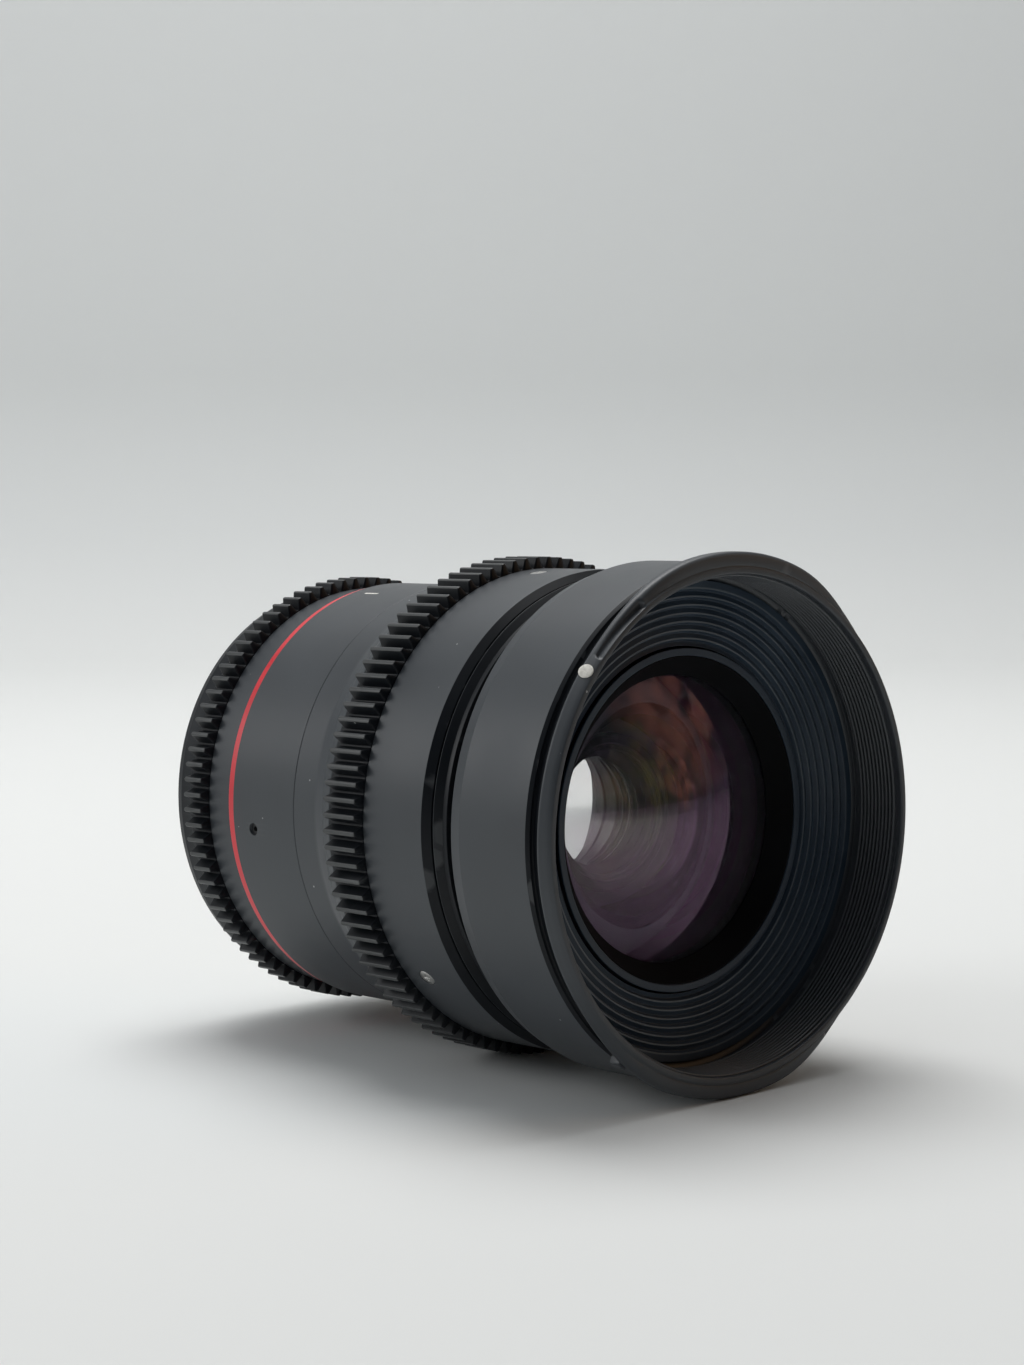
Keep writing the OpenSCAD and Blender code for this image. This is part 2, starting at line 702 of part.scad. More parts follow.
// Screw in the end of the lever's pin
module iris_lever_screw() {
    color(steel) on_axis() union() {
        radial_rod(screw_r / 2, lever_r - lever_t / 2 - 0.4, lever_r + 2.4, z_lever_pin, lever_angle);
        radial_rod(lever_pin_r, lever_r - lever_t / 2 - 0.6, lever_r - lever_t / 2, z_lever_pin, lever_angle);
    }
}

// Sliding tube that carries the front cell and the rear tube
module optics_tube() {
    color(black) on_axis() difference() {
        turned([[rear_tube_r + seat_fit, z_optics], [optics_r, z_optics], [optics_r, z_optics_end],
                [cell_r + seat_fit, z_optics_end], [cell_r + seat_fit, z_middle], [web_bore_r, z_middle],
                [web_bore_r, z_inner_web], [rear_tube_r + seat_fit, z_inner_web]]);
        for (a = roller_angles)
            radial_rod(roller_r - 0.3 + seat_fit, rear_tube_r + 1, optics_r + 1, z_roller, a);
    }
}

// Tube behind it with the iris and the rear group
module rear_tube() {
    color(deep_black) on_axis() difference() {
        tube(rear_tube_r, rear_tube_in_r, z_rear_tube, z_inner_web);
        ring_wedge(rear_tube_in_r - 1, rear_tube_r + 1, z_cam_ring - 0.3, z_cam_ring + cam_ring_t + 0.3,
                   lever_angle - 14, iris_throw + 28);
    }
}

// Cell of the two front elements
module front_cell() {
    e1 = elements[0];
    e2 = elements[1];
    color(deep_black) on_axis()
        turned([[e2[0] - seat_w, z_middle_end], [cell_r, z_middle_end], [cell_r, z_cell],
                [e1[0] + seat_fit, z_cell], [e1[0] + seat_fit, e1[1]], [e2[0] + seat_fit, e1[1]],
                [e2[0] + seat_fit, e2[1]], [e2[0] - seat_w, e2[1]]]);
}

// Black ring that holds the front element in its cell
module front_retainer() {
    lip = 0.3;
    cone = 1.2;
    top = z_cell + 0.6;
    color(deep_black) on_axis()
        turned([[retainer_in_r, z_cell + 0.1], [retainer_in_r + lip, z_cell], [retainer_r, z_cell],
                [retainer_r, top], [retainer_in_r + cone, top], [retainer_in_r, top - 0.25]]);
}

// Flat trim ring round the retainer
module trim_ring() {
    in_r = retainer_r + seat_fit;
    edge = 0.2;
    top = z_cell + 0.8;
    color(black) on_axis()
        turned([[in_r, z_cell], [trim_r, z_cell], [trim_r, top - edge], [trim_r - edge, top],
                [in_r + edge, top], [in_r, top - edge]]);
}

// Cell of the third element, seated on the web of the sliding tube
module middle_cell() {
    e3 = elements[2];
    color(deep_black) on_axis()
        turned([[e3[0] - seat_w, z_middle], [cell_r, z_middle], [cell_r, z_middle_end],
                [e3[0] + 1.4, z_middle_end], [e3[0] + seat_fit, e3[2] + 0.6], [e3[0] + seat_fit, e3[1]],
                [e3[0] - seat_w, e3[1] - seat_w / 2]]);
}

// Stepped sleeve for the elements in front of the iris
module front_group_cell() {
    color(deep_black) on_axis()
        turned(concat([[sleeve_r, z_iris_cover + iris_cover_t], [sleeve_r, z_inner_web]],
                      cell_steps(3, 5, z_inner_web)));
}

// Stepped sleeve for the elements behind the iris
module rear_cell() {
    color(deep_black) on_axis()
        turned(concat([[sleeve_r, z_rear_tube + rear_retainer_t], [sleeve_r, z_iris_plate]],
                      cell_steps(6, 9, z_iris_plate)));
}

// Bore of a sleeve, front to rear: each element has a seat and a shoulder
function cell_steps(first, last, z1) = concat(
    [[elements[first][0] + seat_fit, z1]],
    [for (i = [first:last]) each
        let (e = elements[i], below = i < last ? elements[i + 1][2] + 0.8 : e[1] - 1)
        [[e[0] + seat_fit, e[2]], [e[0] + seat_fit, e[1]], [e[0] - seat_w, e[1] - seat_w / 2],
         [e[0] - seat_w, below]]]);

// Ring that closes the rear of the optics
module rear_retainer() {
    e = elements[element_count - 1];
    color(deep_black) on_axis()
        tube(sleeve_r, e[0] - 0.4, z_rear_tube, z_rear_tube + rear_retainer_t);
}

// Rollers on the sliding tube, in the straight and the helical slots
module cam_rollers() {
    color("goldenrod") on_axis()
        for (a = roller_angles) union() {
            radial_rod(roller_r, optics_r + EPS, cam_r - 0.1, z_roller, a);
            radial_rod(roller_r - 0.3, rear_tube_r + 1.2, optics_r + 0.1, z_roller, a);
        }
}

// Plate with a pivot hole for each blade
module iris_base_plate() {
    color(deep_black) on_axis() difference() {
        tube(sleeve_r, iris_open_r, z_iris_plate, z_iris_plate + iris_plate_t);
        for (i = [0:blade_count - 1])
            rotate([0, 0, blade_angle(i)]) translate([pivot_r, 0, z_iris_plate - 1])
                cylinder(r = blade_pin_r + run_fit, h = iris_plate_t + 2);
    }
}

// Ring that keeps the cam ring in the rear tube
module iris_cover() {
    color(deep_black) on_axis()
        tube(sleeve_r, cam_ring_in_r, z_iris_cover, z_iris_cover + iris_cover_t);
}

// Slotted ring that swings the blades, with a fork for the lever
module iris_cam_ring() {
    fork_w = 1.6;
    gap = lever_w / 2 + run_fit;
    fork_in = cam_ring_r - 0.6;
    fork_out = lever_r + lever_t / 2 + 0.8;
    color("dimgray") on_axis() difference() {
        union() {
            tube(cam_ring_r, cam_ring_in_r, z_cam_ring, z_cam_ring + cam_ring_t);
            rotate([0, 0, lever_angle]) for (s = [-1, 1])
                translate([fork_in, s * (gap + fork_w / 2) - fork_w / 2, z_cam_ring])
                    cube([fork_out - fork_in, fork_w, cam_ring_t]);
        }
        for (i = [0:blade_count - 1])
            lift(z_cam_ring - 1) linear_extrude(cam_ring_t + 2) blade_slot(blade_angle(i));
    }
}

// Where a blade's drive pin lies on the cam ring when the ring has turned by t
function blade_angle(i) = i * 360 / blade_count;
function slot_point(a, t) =
    turn(polar(pivot_r, a) + polar(crank_r, a - crank_lead + t * blade_swing / iris_throw), -t);
function slot_side(a, t, side) =
    let (d = slot_point(a, t + 0.5) - slot_point(a, t - 0.5), n = [-d[1], d[0]] / norm(d))
    slot_point(a, t) + side * slot_half_w * n;

// Spiral slot whose path moves its blade in step with the ring
module blade_slot(a) {
    steps = 20;
    turns = [for (k = [0:steps]) k * iris_throw / steps];
    polygon(concat([for (t = turns) slot_side(a, t, 1)],
                   [for (k = [0:steps]) slot_side(a, turns[steps - k], -1)]));
    for (t = [0, iris_throw]) translate(slot_point(a, t)) circle(r = slot_half_w);
}

// One blade: a crescent with a pivot pin behind and a drive pin in front
module iris_blade(i) {
    a = blade_angle(i);
    z = z_blades + i * blade_pitch;
    mid_r = (blade_in_r + blade_out_r) / 2;
    eye_r = 1.5;
    pivot = polar(pivot_r, a);
    drive = pivot + polar(crank_r, a - crank_lead);
    color("#3a3d40") on_axis() union() {
        lift(z) linear_extrude(blade_t) union() {
            intersection() {
                difference() {
                    circle(r = blade_out_r);
                    circle(r = blade_in_r);
                }
                polygon(concat([[0, 0]], [for (k = [0:4]) polar(2 * blade_out_r, a + k * blade_arc / 4)]));
            }
            translate(polar(mid_r, a + blade_arc)) circle(r = blade_w / 2);
            translate(pivot) circle(r = eye_r);
            translate(drive) circle(r = eye_r * 0.7);
            rotate(a) translate([mid_r, -0.9]) square([pivot_r - mid_r, 2.4]);
            translate(pivot) rotate(a - crank_lead) translate([0, -0.8]) square([crank_r, 1.6]);
        }
        translate([pivot[0], pivot[1], z_iris_plate + 0.1])
            cylinder(r = blade_pin_r, h = z - z_iris_plate - 0.05);
        translate([drive[0], drive[1], z + blade_t / 2])
            cylinder(r = blade_pin_r, h = z_cam_ring + cam_ring_t - 0.1 - z);
    }
}

// A glass element from its row in the table
module element(e) {
    r = e[0];
    land_r = r - hollow_land;
    color(glass) on_axis() difference() {
        union() {
            lift(e[1]) cylinder(r = r, h = e[2] - e[1]);
            if (e[3] > 0) dome(r, e[2], e[3]);
            if (e[4] > 0) lift(e[1]) mirror([0, 0, 1]) dome(r, 0, e[4]);
        }
        if (e[3] < 0)
            lift(e[2] + sqrt(e[3] * e[3] - land_r * land_r)) sphere(r = -e[3], $fn = SPHERE_FN);
        if (e[4] < 0)
            lift(e[1] - sqrt(e[4] * e[4] - land_r * land_r)) sphere(r = -e[4], $fn = SPHERE_FN);
    }
}

// Spherical cap that stands on a rim
module dome(r, z, curve) {
    intersection() {
        lift(z - EPS) cylinder(r = r, h = sag(curve, r) + 1);
        lift(z - sqrt(curve * curve - r * r)) sphere(r = curve, $fn = SPHERE_FN);
    }
}

mount_plate();
mount_screws();
rear_baffle();
fixed_tube();
fixed_barrel();
red_ring();
barrel_set_screws();
stepped_ring();
front_barrel();
front_barrel_screws();
ridged_baffle();
hood_dot();
focus_ring();
focus_gear();
focus_sleeve();
focus_screws();
cam_barrel();
iris_ring();
iris_gear();
iris_lever();
iris_lever_screw();
optics_tube();
rear_tube();
front_cell();
front_retainer();
trim_ring();
middle_cell();
front_group_cell();
rear_cell();
rear_retainer();
cam_rollers();
iris_base_plate();
iris_cover();
iris_cam_ring();
for (i = [1:element_count])
    element(elements[i - 1]);
for (i = [1:blade_count])
    iris_blade(i - 1);
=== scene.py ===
import math

import bmesh
import bpy
from mathutils import Matrix, Vector


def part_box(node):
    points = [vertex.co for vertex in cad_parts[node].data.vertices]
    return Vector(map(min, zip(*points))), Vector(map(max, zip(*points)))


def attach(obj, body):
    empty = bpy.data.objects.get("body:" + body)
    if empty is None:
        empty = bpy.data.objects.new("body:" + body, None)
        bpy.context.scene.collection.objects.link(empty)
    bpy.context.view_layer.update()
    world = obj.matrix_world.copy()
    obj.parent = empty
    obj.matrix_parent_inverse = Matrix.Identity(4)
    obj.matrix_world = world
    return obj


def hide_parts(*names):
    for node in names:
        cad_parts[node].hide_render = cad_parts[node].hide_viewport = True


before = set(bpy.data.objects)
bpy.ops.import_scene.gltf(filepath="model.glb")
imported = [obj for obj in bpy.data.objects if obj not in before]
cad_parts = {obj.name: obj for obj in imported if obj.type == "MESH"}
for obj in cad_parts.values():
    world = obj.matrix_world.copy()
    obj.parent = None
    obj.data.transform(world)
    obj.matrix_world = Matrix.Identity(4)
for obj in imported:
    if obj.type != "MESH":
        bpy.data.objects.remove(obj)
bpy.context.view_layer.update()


# Mount plate: a brass bayonet plate with three lugs, turned, milled and plated with satin chrome.
# It is the rear face of the lens and carries everything else.
MM = 0.001
CHROME = (0.66, 0.65, 0.63, 1.0)


def new_finish(name):
    """A new material, its node tree and its shader."""
    material = bpy.data.materials.new(name)
    material.use_nodes = True
    return material, material.node_tree, material.node_tree.nodes["Principled BSDF"]


def put(tree, kind, inputs, **settings):
    """Adds a node; an input is a plain value or the socket that feeds it."""
    made = tree.nodes.new(kind)
    for setting, value in settings.items():
        setattr(made, setting, value)
    for socket, value in inputs.items():
        if isinstance(value, bpy.types.NodeSocket):
            tree.links.new(value, made.inputs[socket])
        else:
            made.inputs[socket].default_value = value
    return made


def graded(tree, value, low, high, colour_low, colour_high):
    """Colour that goes from one tone to another as a value rises."""
    ramp = put(tree, "ShaderNodeValToRGB", {"Fac": value})
    ramp.color_ramp.elements[0].position = low
    ramp.color_ramp.elements[1].position = high
    ramp.color_ramp.elements[0].color = colour_low
    ramp.color_ramp.elements[1].color = colour_high
    return ramp.outputs["Color"]


def ranged(tree, value, low, high):
    """A noise value of about 0.3 to 0.7, spread between two numbers."""
    spread = put(tree, "ShaderNodeMapRange", {"Value": value, "From Min": 0.3, "From Max": 0.7,
                                              "To Min": low, "To Max": high})
    return spread.outputs["Result"]


def lathe_marks(tree, place, per_metre):
    """Fine rings round the optical axis, left by the turning tool."""
    along = put(tree, "ShaderNodeSeparateXYZ", {"Vector": place}).outputs["Y"]
    marks = put(tree, "ShaderNodeTexNoise", {"W": along, "Scale": per_metre, "Detail": 3.0},
                noise_dimensions="1D")
    return marks.outputs["Fac"]


def bare_metal(name, colour, roughness):
    """Turned and polished metal with fine rings and faint smears."""
    material, tree, shader = new_finish(name)
    place = put(tree, "ShaderNodeTexCoord", {}).outputs["Object"]
    smear = put(tree, "ShaderNodeTexNoise", {"Vector": place, "Scale": 140.0, "Detail": 5.0}).outputs["Fac"]
    marks = lathe_marks(tree, place, 7000.0)
    darker = tuple(0.78 * part for part in colour[:3]) + (1.0,)
    tree.links.new(graded(tree, smear, 0.35, 0.65, darker, colour), shader.inputs["Base Color"])
    tree.links.new(ranged(tree, smear, roughness - 0.06, roughness + 0.1), shader.inputs["Roughness"])
    bump = put(tree, "ShaderNodeBump", {"Height": marks, "Strength": 0.12, "Distance": 0.02 * MM})
    tree.links.new(bump.outputs["Normal"], shader.inputs["Normal"])
    shader.inputs["Metallic"].default_value = 1.0
    return material


def coat(material, *names):
    """Gives CAD nodes their finish."""
    for name in names:
        node_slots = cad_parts[name].data.materials
        node_slots.clear()
        node_slots.append(material)


coat(bare_metal("satin_chrome", CHROME, 0.22), "mount_plate")


# Steel screws: the mount's countersunk screws and the lever's screw.
# They are bright steel, as cut.
STEEL = (0.58, 0.57, 0.55, 1.0)

screw_steel = bare_metal("screw_steel", STEEL, 0.3)
coat(screw_steel, "mount_screws", "iris_lever_screw", "front_barrel_screws")


# Rear baffle, tubes and cells inside the lens: aluminium, turned and anodised a dull black.
# They sit behind the glass and swallow stray light.
INNER_BLACK = (0.012, 0.013, 0.015, 1.0)
INNER_GREY = (0.022, 0.023, 0.025, 1.0)


def dull_black(name, dark, light, roughness, shine=0.5):
    """Dull black anodising with ring marks and a little bloom."""
    material, tree, shader = new_finish(name)
    place = put(tree, "ShaderNodeTexCoord", {}).outputs["Object"]
    bloom = put(tree, "ShaderNodeTexNoise", {"Vector": place, "Scale": 90.0, "Detail": 6.0}).outputs["Fac"]
    marks = lathe_marks(tree, place, 5000.0)
    tree.links.new(graded(tree, bloom, 0.35, 0.68, dark, light), shader.inputs["Base Color"])
    tree.links.new(ranged(tree, bloom, roughness - 0.08, roughness + 0.08), shader.inputs["Roughness"])
    bump = put(tree, "ShaderNodeBump", {"Height": marks, "Strength": 0.2, "Distance": 0.03 * MM})
    tree.links.new(bump.outputs["Normal"], shader.inputs["Normal"])
    shader.inputs["Specular IOR Level"].default_value = shine
    return material


inner_black = dull_black("inner_black", INNER_BLACK, INNER_GREY, 0.55)
coat(inner_black, "rear_baffle", "fixed_tube", "optics_tube", "rear_tube", "middle_cell",
     "front_group_cell", "rear_retainer", "iris_base_plate", "iris_cover", "barrel_set_screws")


# Cam barrel, iris cam ring and lever: bare turned aluminium, greased and hidden in the lens.
# The cam rollers are brass.
BARE_ALUMINIUM = (0.5, 0.5, 0.5, 1.0)
BRASS = (0.62, 0.43, 0.17, 1.0)

coat(bare_metal("cam_metal", BARE_ALUMINIUM, 0.35), "cam_barrel", "iris_cam_ring", "iris_lever")
coat(bare_metal("roller_brass", BRASS, 0.3), "cam_rollers")


# Iris blades: eight crescents of thin blackened spring steel, each on its own pivot.
# They lie in a stack between the base plate and the cam ring.
BLADE_DARK = (0.02, 0.02, 0.022, 1.0)
BLADE_WORN = (0.05, 0.05, 0.052, 1.0)

coat(dull_black("blade_black", BLADE_DARK, BLADE_WORN, 0.4),
     *[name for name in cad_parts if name.startswith("iris_blade_")])


# Glass elements: ten ground and polished lenses with tinted anti-reflex coatings and blackened edges.
# The two front ones are deep negative menisci, the others sit in their cells behind them.
COATINGS = [(0.70, 0.52, 1.0, 1.0), (1.0, 0.62, 0.95, 1.0), (0.70, 1.0, 0.50, 1.0), (1.0, 0.80, 0.50, 1.0)]
COATED_SHARE = 0.3
FRONT_SHARE = 0.6
EDGE_PAINT = (0.075, 0.066, 0.078, 1.0)
EDGE_WORN = (0.12, 0.105, 0.12, 1.0)
GLASS_DUST = (0.40, 0.39, 0.48, 1.0)
DUST_PALE = (0.62, 0.68, 0.78, 1.0)
FRONT_DUST = 0.12
GLASS_STEPS = 160
ARC_STEPS = 40
LIGHT_PATHS = 40
HOLLOW_LAND = 2.2
FRONT_LAND = 0.3
# rim radius, rear rim, front rim, front curve, rear curve (negative is a hollow), refractive index
ELEMENTS = [(24.0, 77.266, 82.6, 71.81, -33.89, 1.676), (18.6, 72.118, 77.2, 60.0, -26.11, 1.797),
            (15.6, 61.9, 64.5, 89.51, 90.0, 1.655), (14.6, 53.1, 55.3, 60.0, -60.0, 1.454),
            (14.2, 47.5, 49.7, 44.0, -52.0, 1.454), (13.8, 41.9, 43.9, 40.0, 60.0, 1.454),
            (13.6, 27.6, 31.2, -40.0, 60.0, 1.454), (14.2, 21.6, 23.6, 60.0, 70.0, 1.454),
            (14.8, 15.4, 17.6, 62.0, 66.0, 1.454), (15.4, 9.2, 11.8, 80.0, 90.0, 1.454)]


def link_mesh(name, mesh):
    """Puts a bmesh in the scene as a smooth piece of that name."""
    bmesh.ops.remove_doubles(mesh, verts=mesh.verts, dist=0.0005 * MM)
    bmesh.ops.recalc_face_normals(mesh, faces=mesh.faces)
    data = bpy.data.meshes.new(name)
    mesh.to_mesh(data)
    mesh.free()
    for face in data.polygons:
        face.use_smooth = True
    piece = bpy.data.objects.new(name, data)
    bpy.context.scene.collection.objects.link(piece)
    return piece


def around(radius, forward, angle):
    """A point given by radius, distance forward of the flange and angle from +X over the top."""
    return (radius * math.cos(angle) * MM, -forward * MM, radius * math.sin(angle) * MM)


def lathe_grid(name, rows, closed=True):
    """Piece made of rows of points that each run round the axis; closed joins the last row to the first."""
    mesh = bmesh.new()
    rings = [[mesh.verts.new(point) for point in row] for row in rows]
    pairs = list(zip(rings, rings[1:]))
    if closed:
        pairs.append((rings[-1], rings[0]))
    for low, high in pairs:
        for k in range(len(low)):
            after = (k + 1) % len(low)
            mesh.faces.new((low[k], low[after], high[after], high[k]))
    if not closed:
        mesh.faces.new(rings[0])
        mesh.faces.new(rings[-1])
    return link_mesh(name, mesh)


def turned_rows(outline, steps):
    """Rows of a turned piece from its outline of radius and forward distance."""
    angles = [2 * math.pi * k / steps for k in range(steps)]
    return [[around(r, z, a) for a in angles] for r, z in outline]


def ground_face(rim, edge, curve, ahead):
    """Points of a ground face from rim to axis, ahead 1 in front and -1 behind.

    A hollow starts inside a flat land.
    """
    clear = rim if curve > 0 else rim - (HOLLOW_LAND if ahead < 0 else FRONT_LAND)
    points = [] if curve > 0 else [(rim, edge)]
    for k in range(ARC_STEPS):
        r = max(clear * (1 - k / (ARC_STEPS - 1)), 0.05)
        rise = math.sqrt(curve * curve - r * r) - math.sqrt(curve * curve - clear * clear)
        points.append((r, edge + ahead * math.copysign(rise, curve)))
    return points


def ground_element(name, rim, rear, front, front_curve, rear_curve):
    """Lens element whose second material covers the rim and the lands."""
    outline = ground_face(rim, front, front_curve, 1)[::-1] + ground_face(rim, rear, rear_curve, -1)
    piece = lathe_grid(name, turned_rows(outline, GLASS_STEPS), closed=False)
    for face in piece.data.polygons:
        if ARC_STEPS - 1 <= face.index // GLASS_STEPS < len(outline) - ARC_STEPS:
            face.material_index = 1
    piece.data.set_sharp_from_angle(angle=math.radians(20))
    return piece


def coated_glass(name, tint, ior, gleam_share, dust_share):
    """Clear glass whose coating leaves a faint coloured reflection, with smears and a little dust."""
    material, tree, shader = new_finish(name)
    place = put(tree, "ShaderNodeTexCoord", {}).outputs["Object"]
    smear = put(tree, "ShaderNodeTexNoise", {"Vector": place, "Scale": 110.0, "Detail": 7.0,
                                             "Roughness": 0.65}).outputs["Fac"]
    dust = put(tree, "ShaderNodeTexNoise", {"Vector": place, "Scale": 700.0, "Detail": 4.0}).outputs["Fac"]
    haze = put(tree, "ShaderNodeMath", {0: smear, 1: dust}, operation="MULTIPLY").outputs[0]
    spread = put(tree, "ShaderNodeMapRange", {"Value": haze, "From Min": 0.31, "From Max": 0.46,
                                              "To Min": 0.25 * dust_share, "To Max": dust_share})
    dulled = spread.outputs["Result"]
    tree.links.new(graded(tree, dust, 0.4, 0.7, GLASS_DUST, DUST_PALE), shader.inputs["Base Color"])
    shader.inputs["Roughness"].default_value = 0.9
    clear = put(tree, "ShaderNodeBsdfRefraction", {"Roughness": 0.0, "IOR": ior}).outputs["BSDF"]
    gleam = put(tree, "ShaderNodeBsdfGlossy", {"Color": tint, "Roughness": 0.0}).outputs["BSDF"]
    edge = put(tree, "ShaderNodeFresnel", {"IOR": ior}).outputs["Fac"]
    coated = put(tree, "ShaderNodeMath", {0: edge, 1: gleam_share}, operation="MULTIPLY").outputs[0]
    total = put(tree, "ShaderNodeMath", {0: edge, 1: 0.999}, operation="GREATER_THAN").outputs[0]
    share = put(tree, "ShaderNodeMath", {0: coated, 1: total}, operation="MAXIMUM").outputs[0]
    polished = put(tree, "ShaderNodeMixShader", {"Fac": share, 1: clear, 2: gleam}).outputs["Shader"]
    dusty = put(tree, "ShaderNodeMixShader", {"Fac": dulled, 1: polished, 2: shader.outputs["BSDF"]})
    tree.links.new(dusty.outputs["Shader"], tree.nodes["Material Output"].inputs["Surface"])
    return material


edge_black = dull_black("edge_black", EDGE_PAINT, EDGE_WORN, 0.8, 0.1)
for number, (rim, rear, front, front_curve, rear_curve, ior) in enumerate(ELEMENTS, 1):
    element = ground_element("glass_%d" % number, rim, rear, front, front_curve, rear_curve)
    tint = COATINGS[number % len(COATINGS)]
    gleam_share = FRONT_SHARE if number == 1 else COATED_SHARE
    dust_share = FRONT_DUST if number == 1 else 0.0
    glass = coated_glass("coated_glass_%d" % number, tint, ior, gleam_share, dust_share)
    element.data.materials.append(glass)
    element.data.materials.append(edge_black)
    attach(element, "optics")
    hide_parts("element_%d" % number)
bpy.context.scene.cycles.max_bounces = LIGHT_PATHS
bpy.context.scene.cycles.transmission_bounces = LIGHT_PATHS


# Front cell: the sleeve that holds the two front elements, turned with fine steps inside. Its dark mauve grey
# is painted reflection: lighter than black anodising, it stands in for the coloured reflections seen in the
# front glass.
# It is screwed into the sliding tube.
CELL_BORE = 17.4
CELL_REAR = 66.3
CELL_EDGE = 0.02
CELL_MOUTH = 25.2
CELL_REFLECTION_DARK = (0.10, 0.098, 0.125, 1.0)
CELL_REFLECTION_LIGHT = (0.15, 0.145, 0.175, 1.0)
cell_r, cell_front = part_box("front_cell")[1].x / MM, -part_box("front_cell")[0].y / MM
front_rim, front_seat = ELEMENTS[0][0] + CELL_EDGE, ELEMENTS[0][1]
second_rim, second_seat = ELEMENTS[1][0] + CELL_EDGE, ELEMENTS[1][1]
cell_outline = [(CELL_BORE, CELL_REAR), (cell_r, CELL_REAR), (cell_r, cell_front), (CELL_MOUTH, cell_front),
                (front_rim, ELEMENTS[0][2]), (front_rim, front_seat), (second_rim, front_seat),
                (second_rim, second_seat), (CELL_BORE, second_seat)]
front_cell = lathe_grid("front_glass_cell", turned_rows(cell_outline, GLASS_STEPS))
front_cell.data.set_sharp_from_angle(angle=math.radians(30))
# Mauve grey painted reflection on the cell steps.
front_cell.data.materials.append(dull_black("cell_painted_reflection", CELL_REFLECTION_DARK, CELL_REFLECTION_LIGHT, 0.6, 0.2))
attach(front_cell, "optics")
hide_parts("front_cell")


# Rear cell: the stepped black sleeve for the four elements behind the iris.
# Each element drops in from the rear end on to a narrow shoulder.
SHOULDER = 0.3
SPACER = 0.8
rear_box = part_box("rear_cell")
rear_r, rear_end, rear_top = rear_box[1].x / MM, -rear_box[1].y / MM, -rear_box[0].y / MM
rear_outline = [(rear_r, rear_end), (rear_r, rear_top), (ELEMENTS[6][0] + CELL_EDGE, rear_top)]
for number in range(6, 10):
    rim, seat, front = ELEMENTS[number][:3]
    below = ELEMENTS[number + 1][2] + SPACER if number < 9 else rear_end
    rear_outline += [(rim + CELL_EDGE, front), (rim + CELL_EDGE, seat), (rim - SHOULDER, seat - SHOULDER),
                     (rim - SHOULDER, below)]
rear_cell = lathe_grid("rear_glass_cell", turned_rows(rear_outline, GLASS_STEPS))
rear_cell.data.set_sharp_from_angle(angle=math.radians(30))
rear_cell.data.materials.append(inner_black)
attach(rear_cell, "optics")
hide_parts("rear_cell")


# Iris ring: the aluminium band that sets the aperture, turned and anodised satin black.
# It runs on the fixed tube in front of its gear.
SATIN_DARK = (0.031, 0.036, 0.042, 1.0)
SATIN_LIGHT = (0.039, 0.045, 0.052, 1.0)
SATIN_WORN = (0.13, 0.135, 0.14, 1.0)
DUST = (0.32, 0.33, 0.33, 1.0)
TURN_STEPS = 288
FILLET_STEPS = 4


def span(name):
    """Radius, rear end and front end of a CAD node, in millimetres."""
    low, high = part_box(name)
    return high.x / MM, -high.y / MM, -low.y / MM


def rounded(corners):
    """Outline through corners of (radius, forward, fillet), with each fillet drawn as an arc."""
    outline = []
    for k, (r, z, fillet) in enumerate(corners):
        corner = Vector((r, z))
        to_last = Vector(corners[k - 1][:2]) - corner
        to_next = Vector(corners[(k + 1) % len(corners)][:2]) - corner
        if fillet == 0 or to_last.length == 0 or to_next.length == 0:
            outline.append((r, z))
            continue
        half = to_last.angle(to_next) / 2
        run = min(fillet / math.tan(half), 0.45 * to_last.length, 0.45 * to_next.length)
        start = corner + to_last.normalized() * run
        end = corner + to_next.normalized() * run
        for step in range(FILLET_STEPS + 1):
            t = step / FILLET_STEPS
            point = start * (1 - t) ** 2 + corner * 2 * t * (1 - t) + end * t * t
            outline.append((point.x, point.y))
    return outline


def weighted(piece):
    """Keeps broad faces flat and lets the small fillets carry the shading."""
    bend = piece.modifiers.new("weighted", "WEIGHTED_NORMAL")
    bend.weight = 100
    return piece


def turned(name, corners):
    """Piece turned on a lathe from a closed outline of rounded corners."""
    return weighted(lathe_grid(name, turned_rows(rounded(corners), TURN_STEPS)))


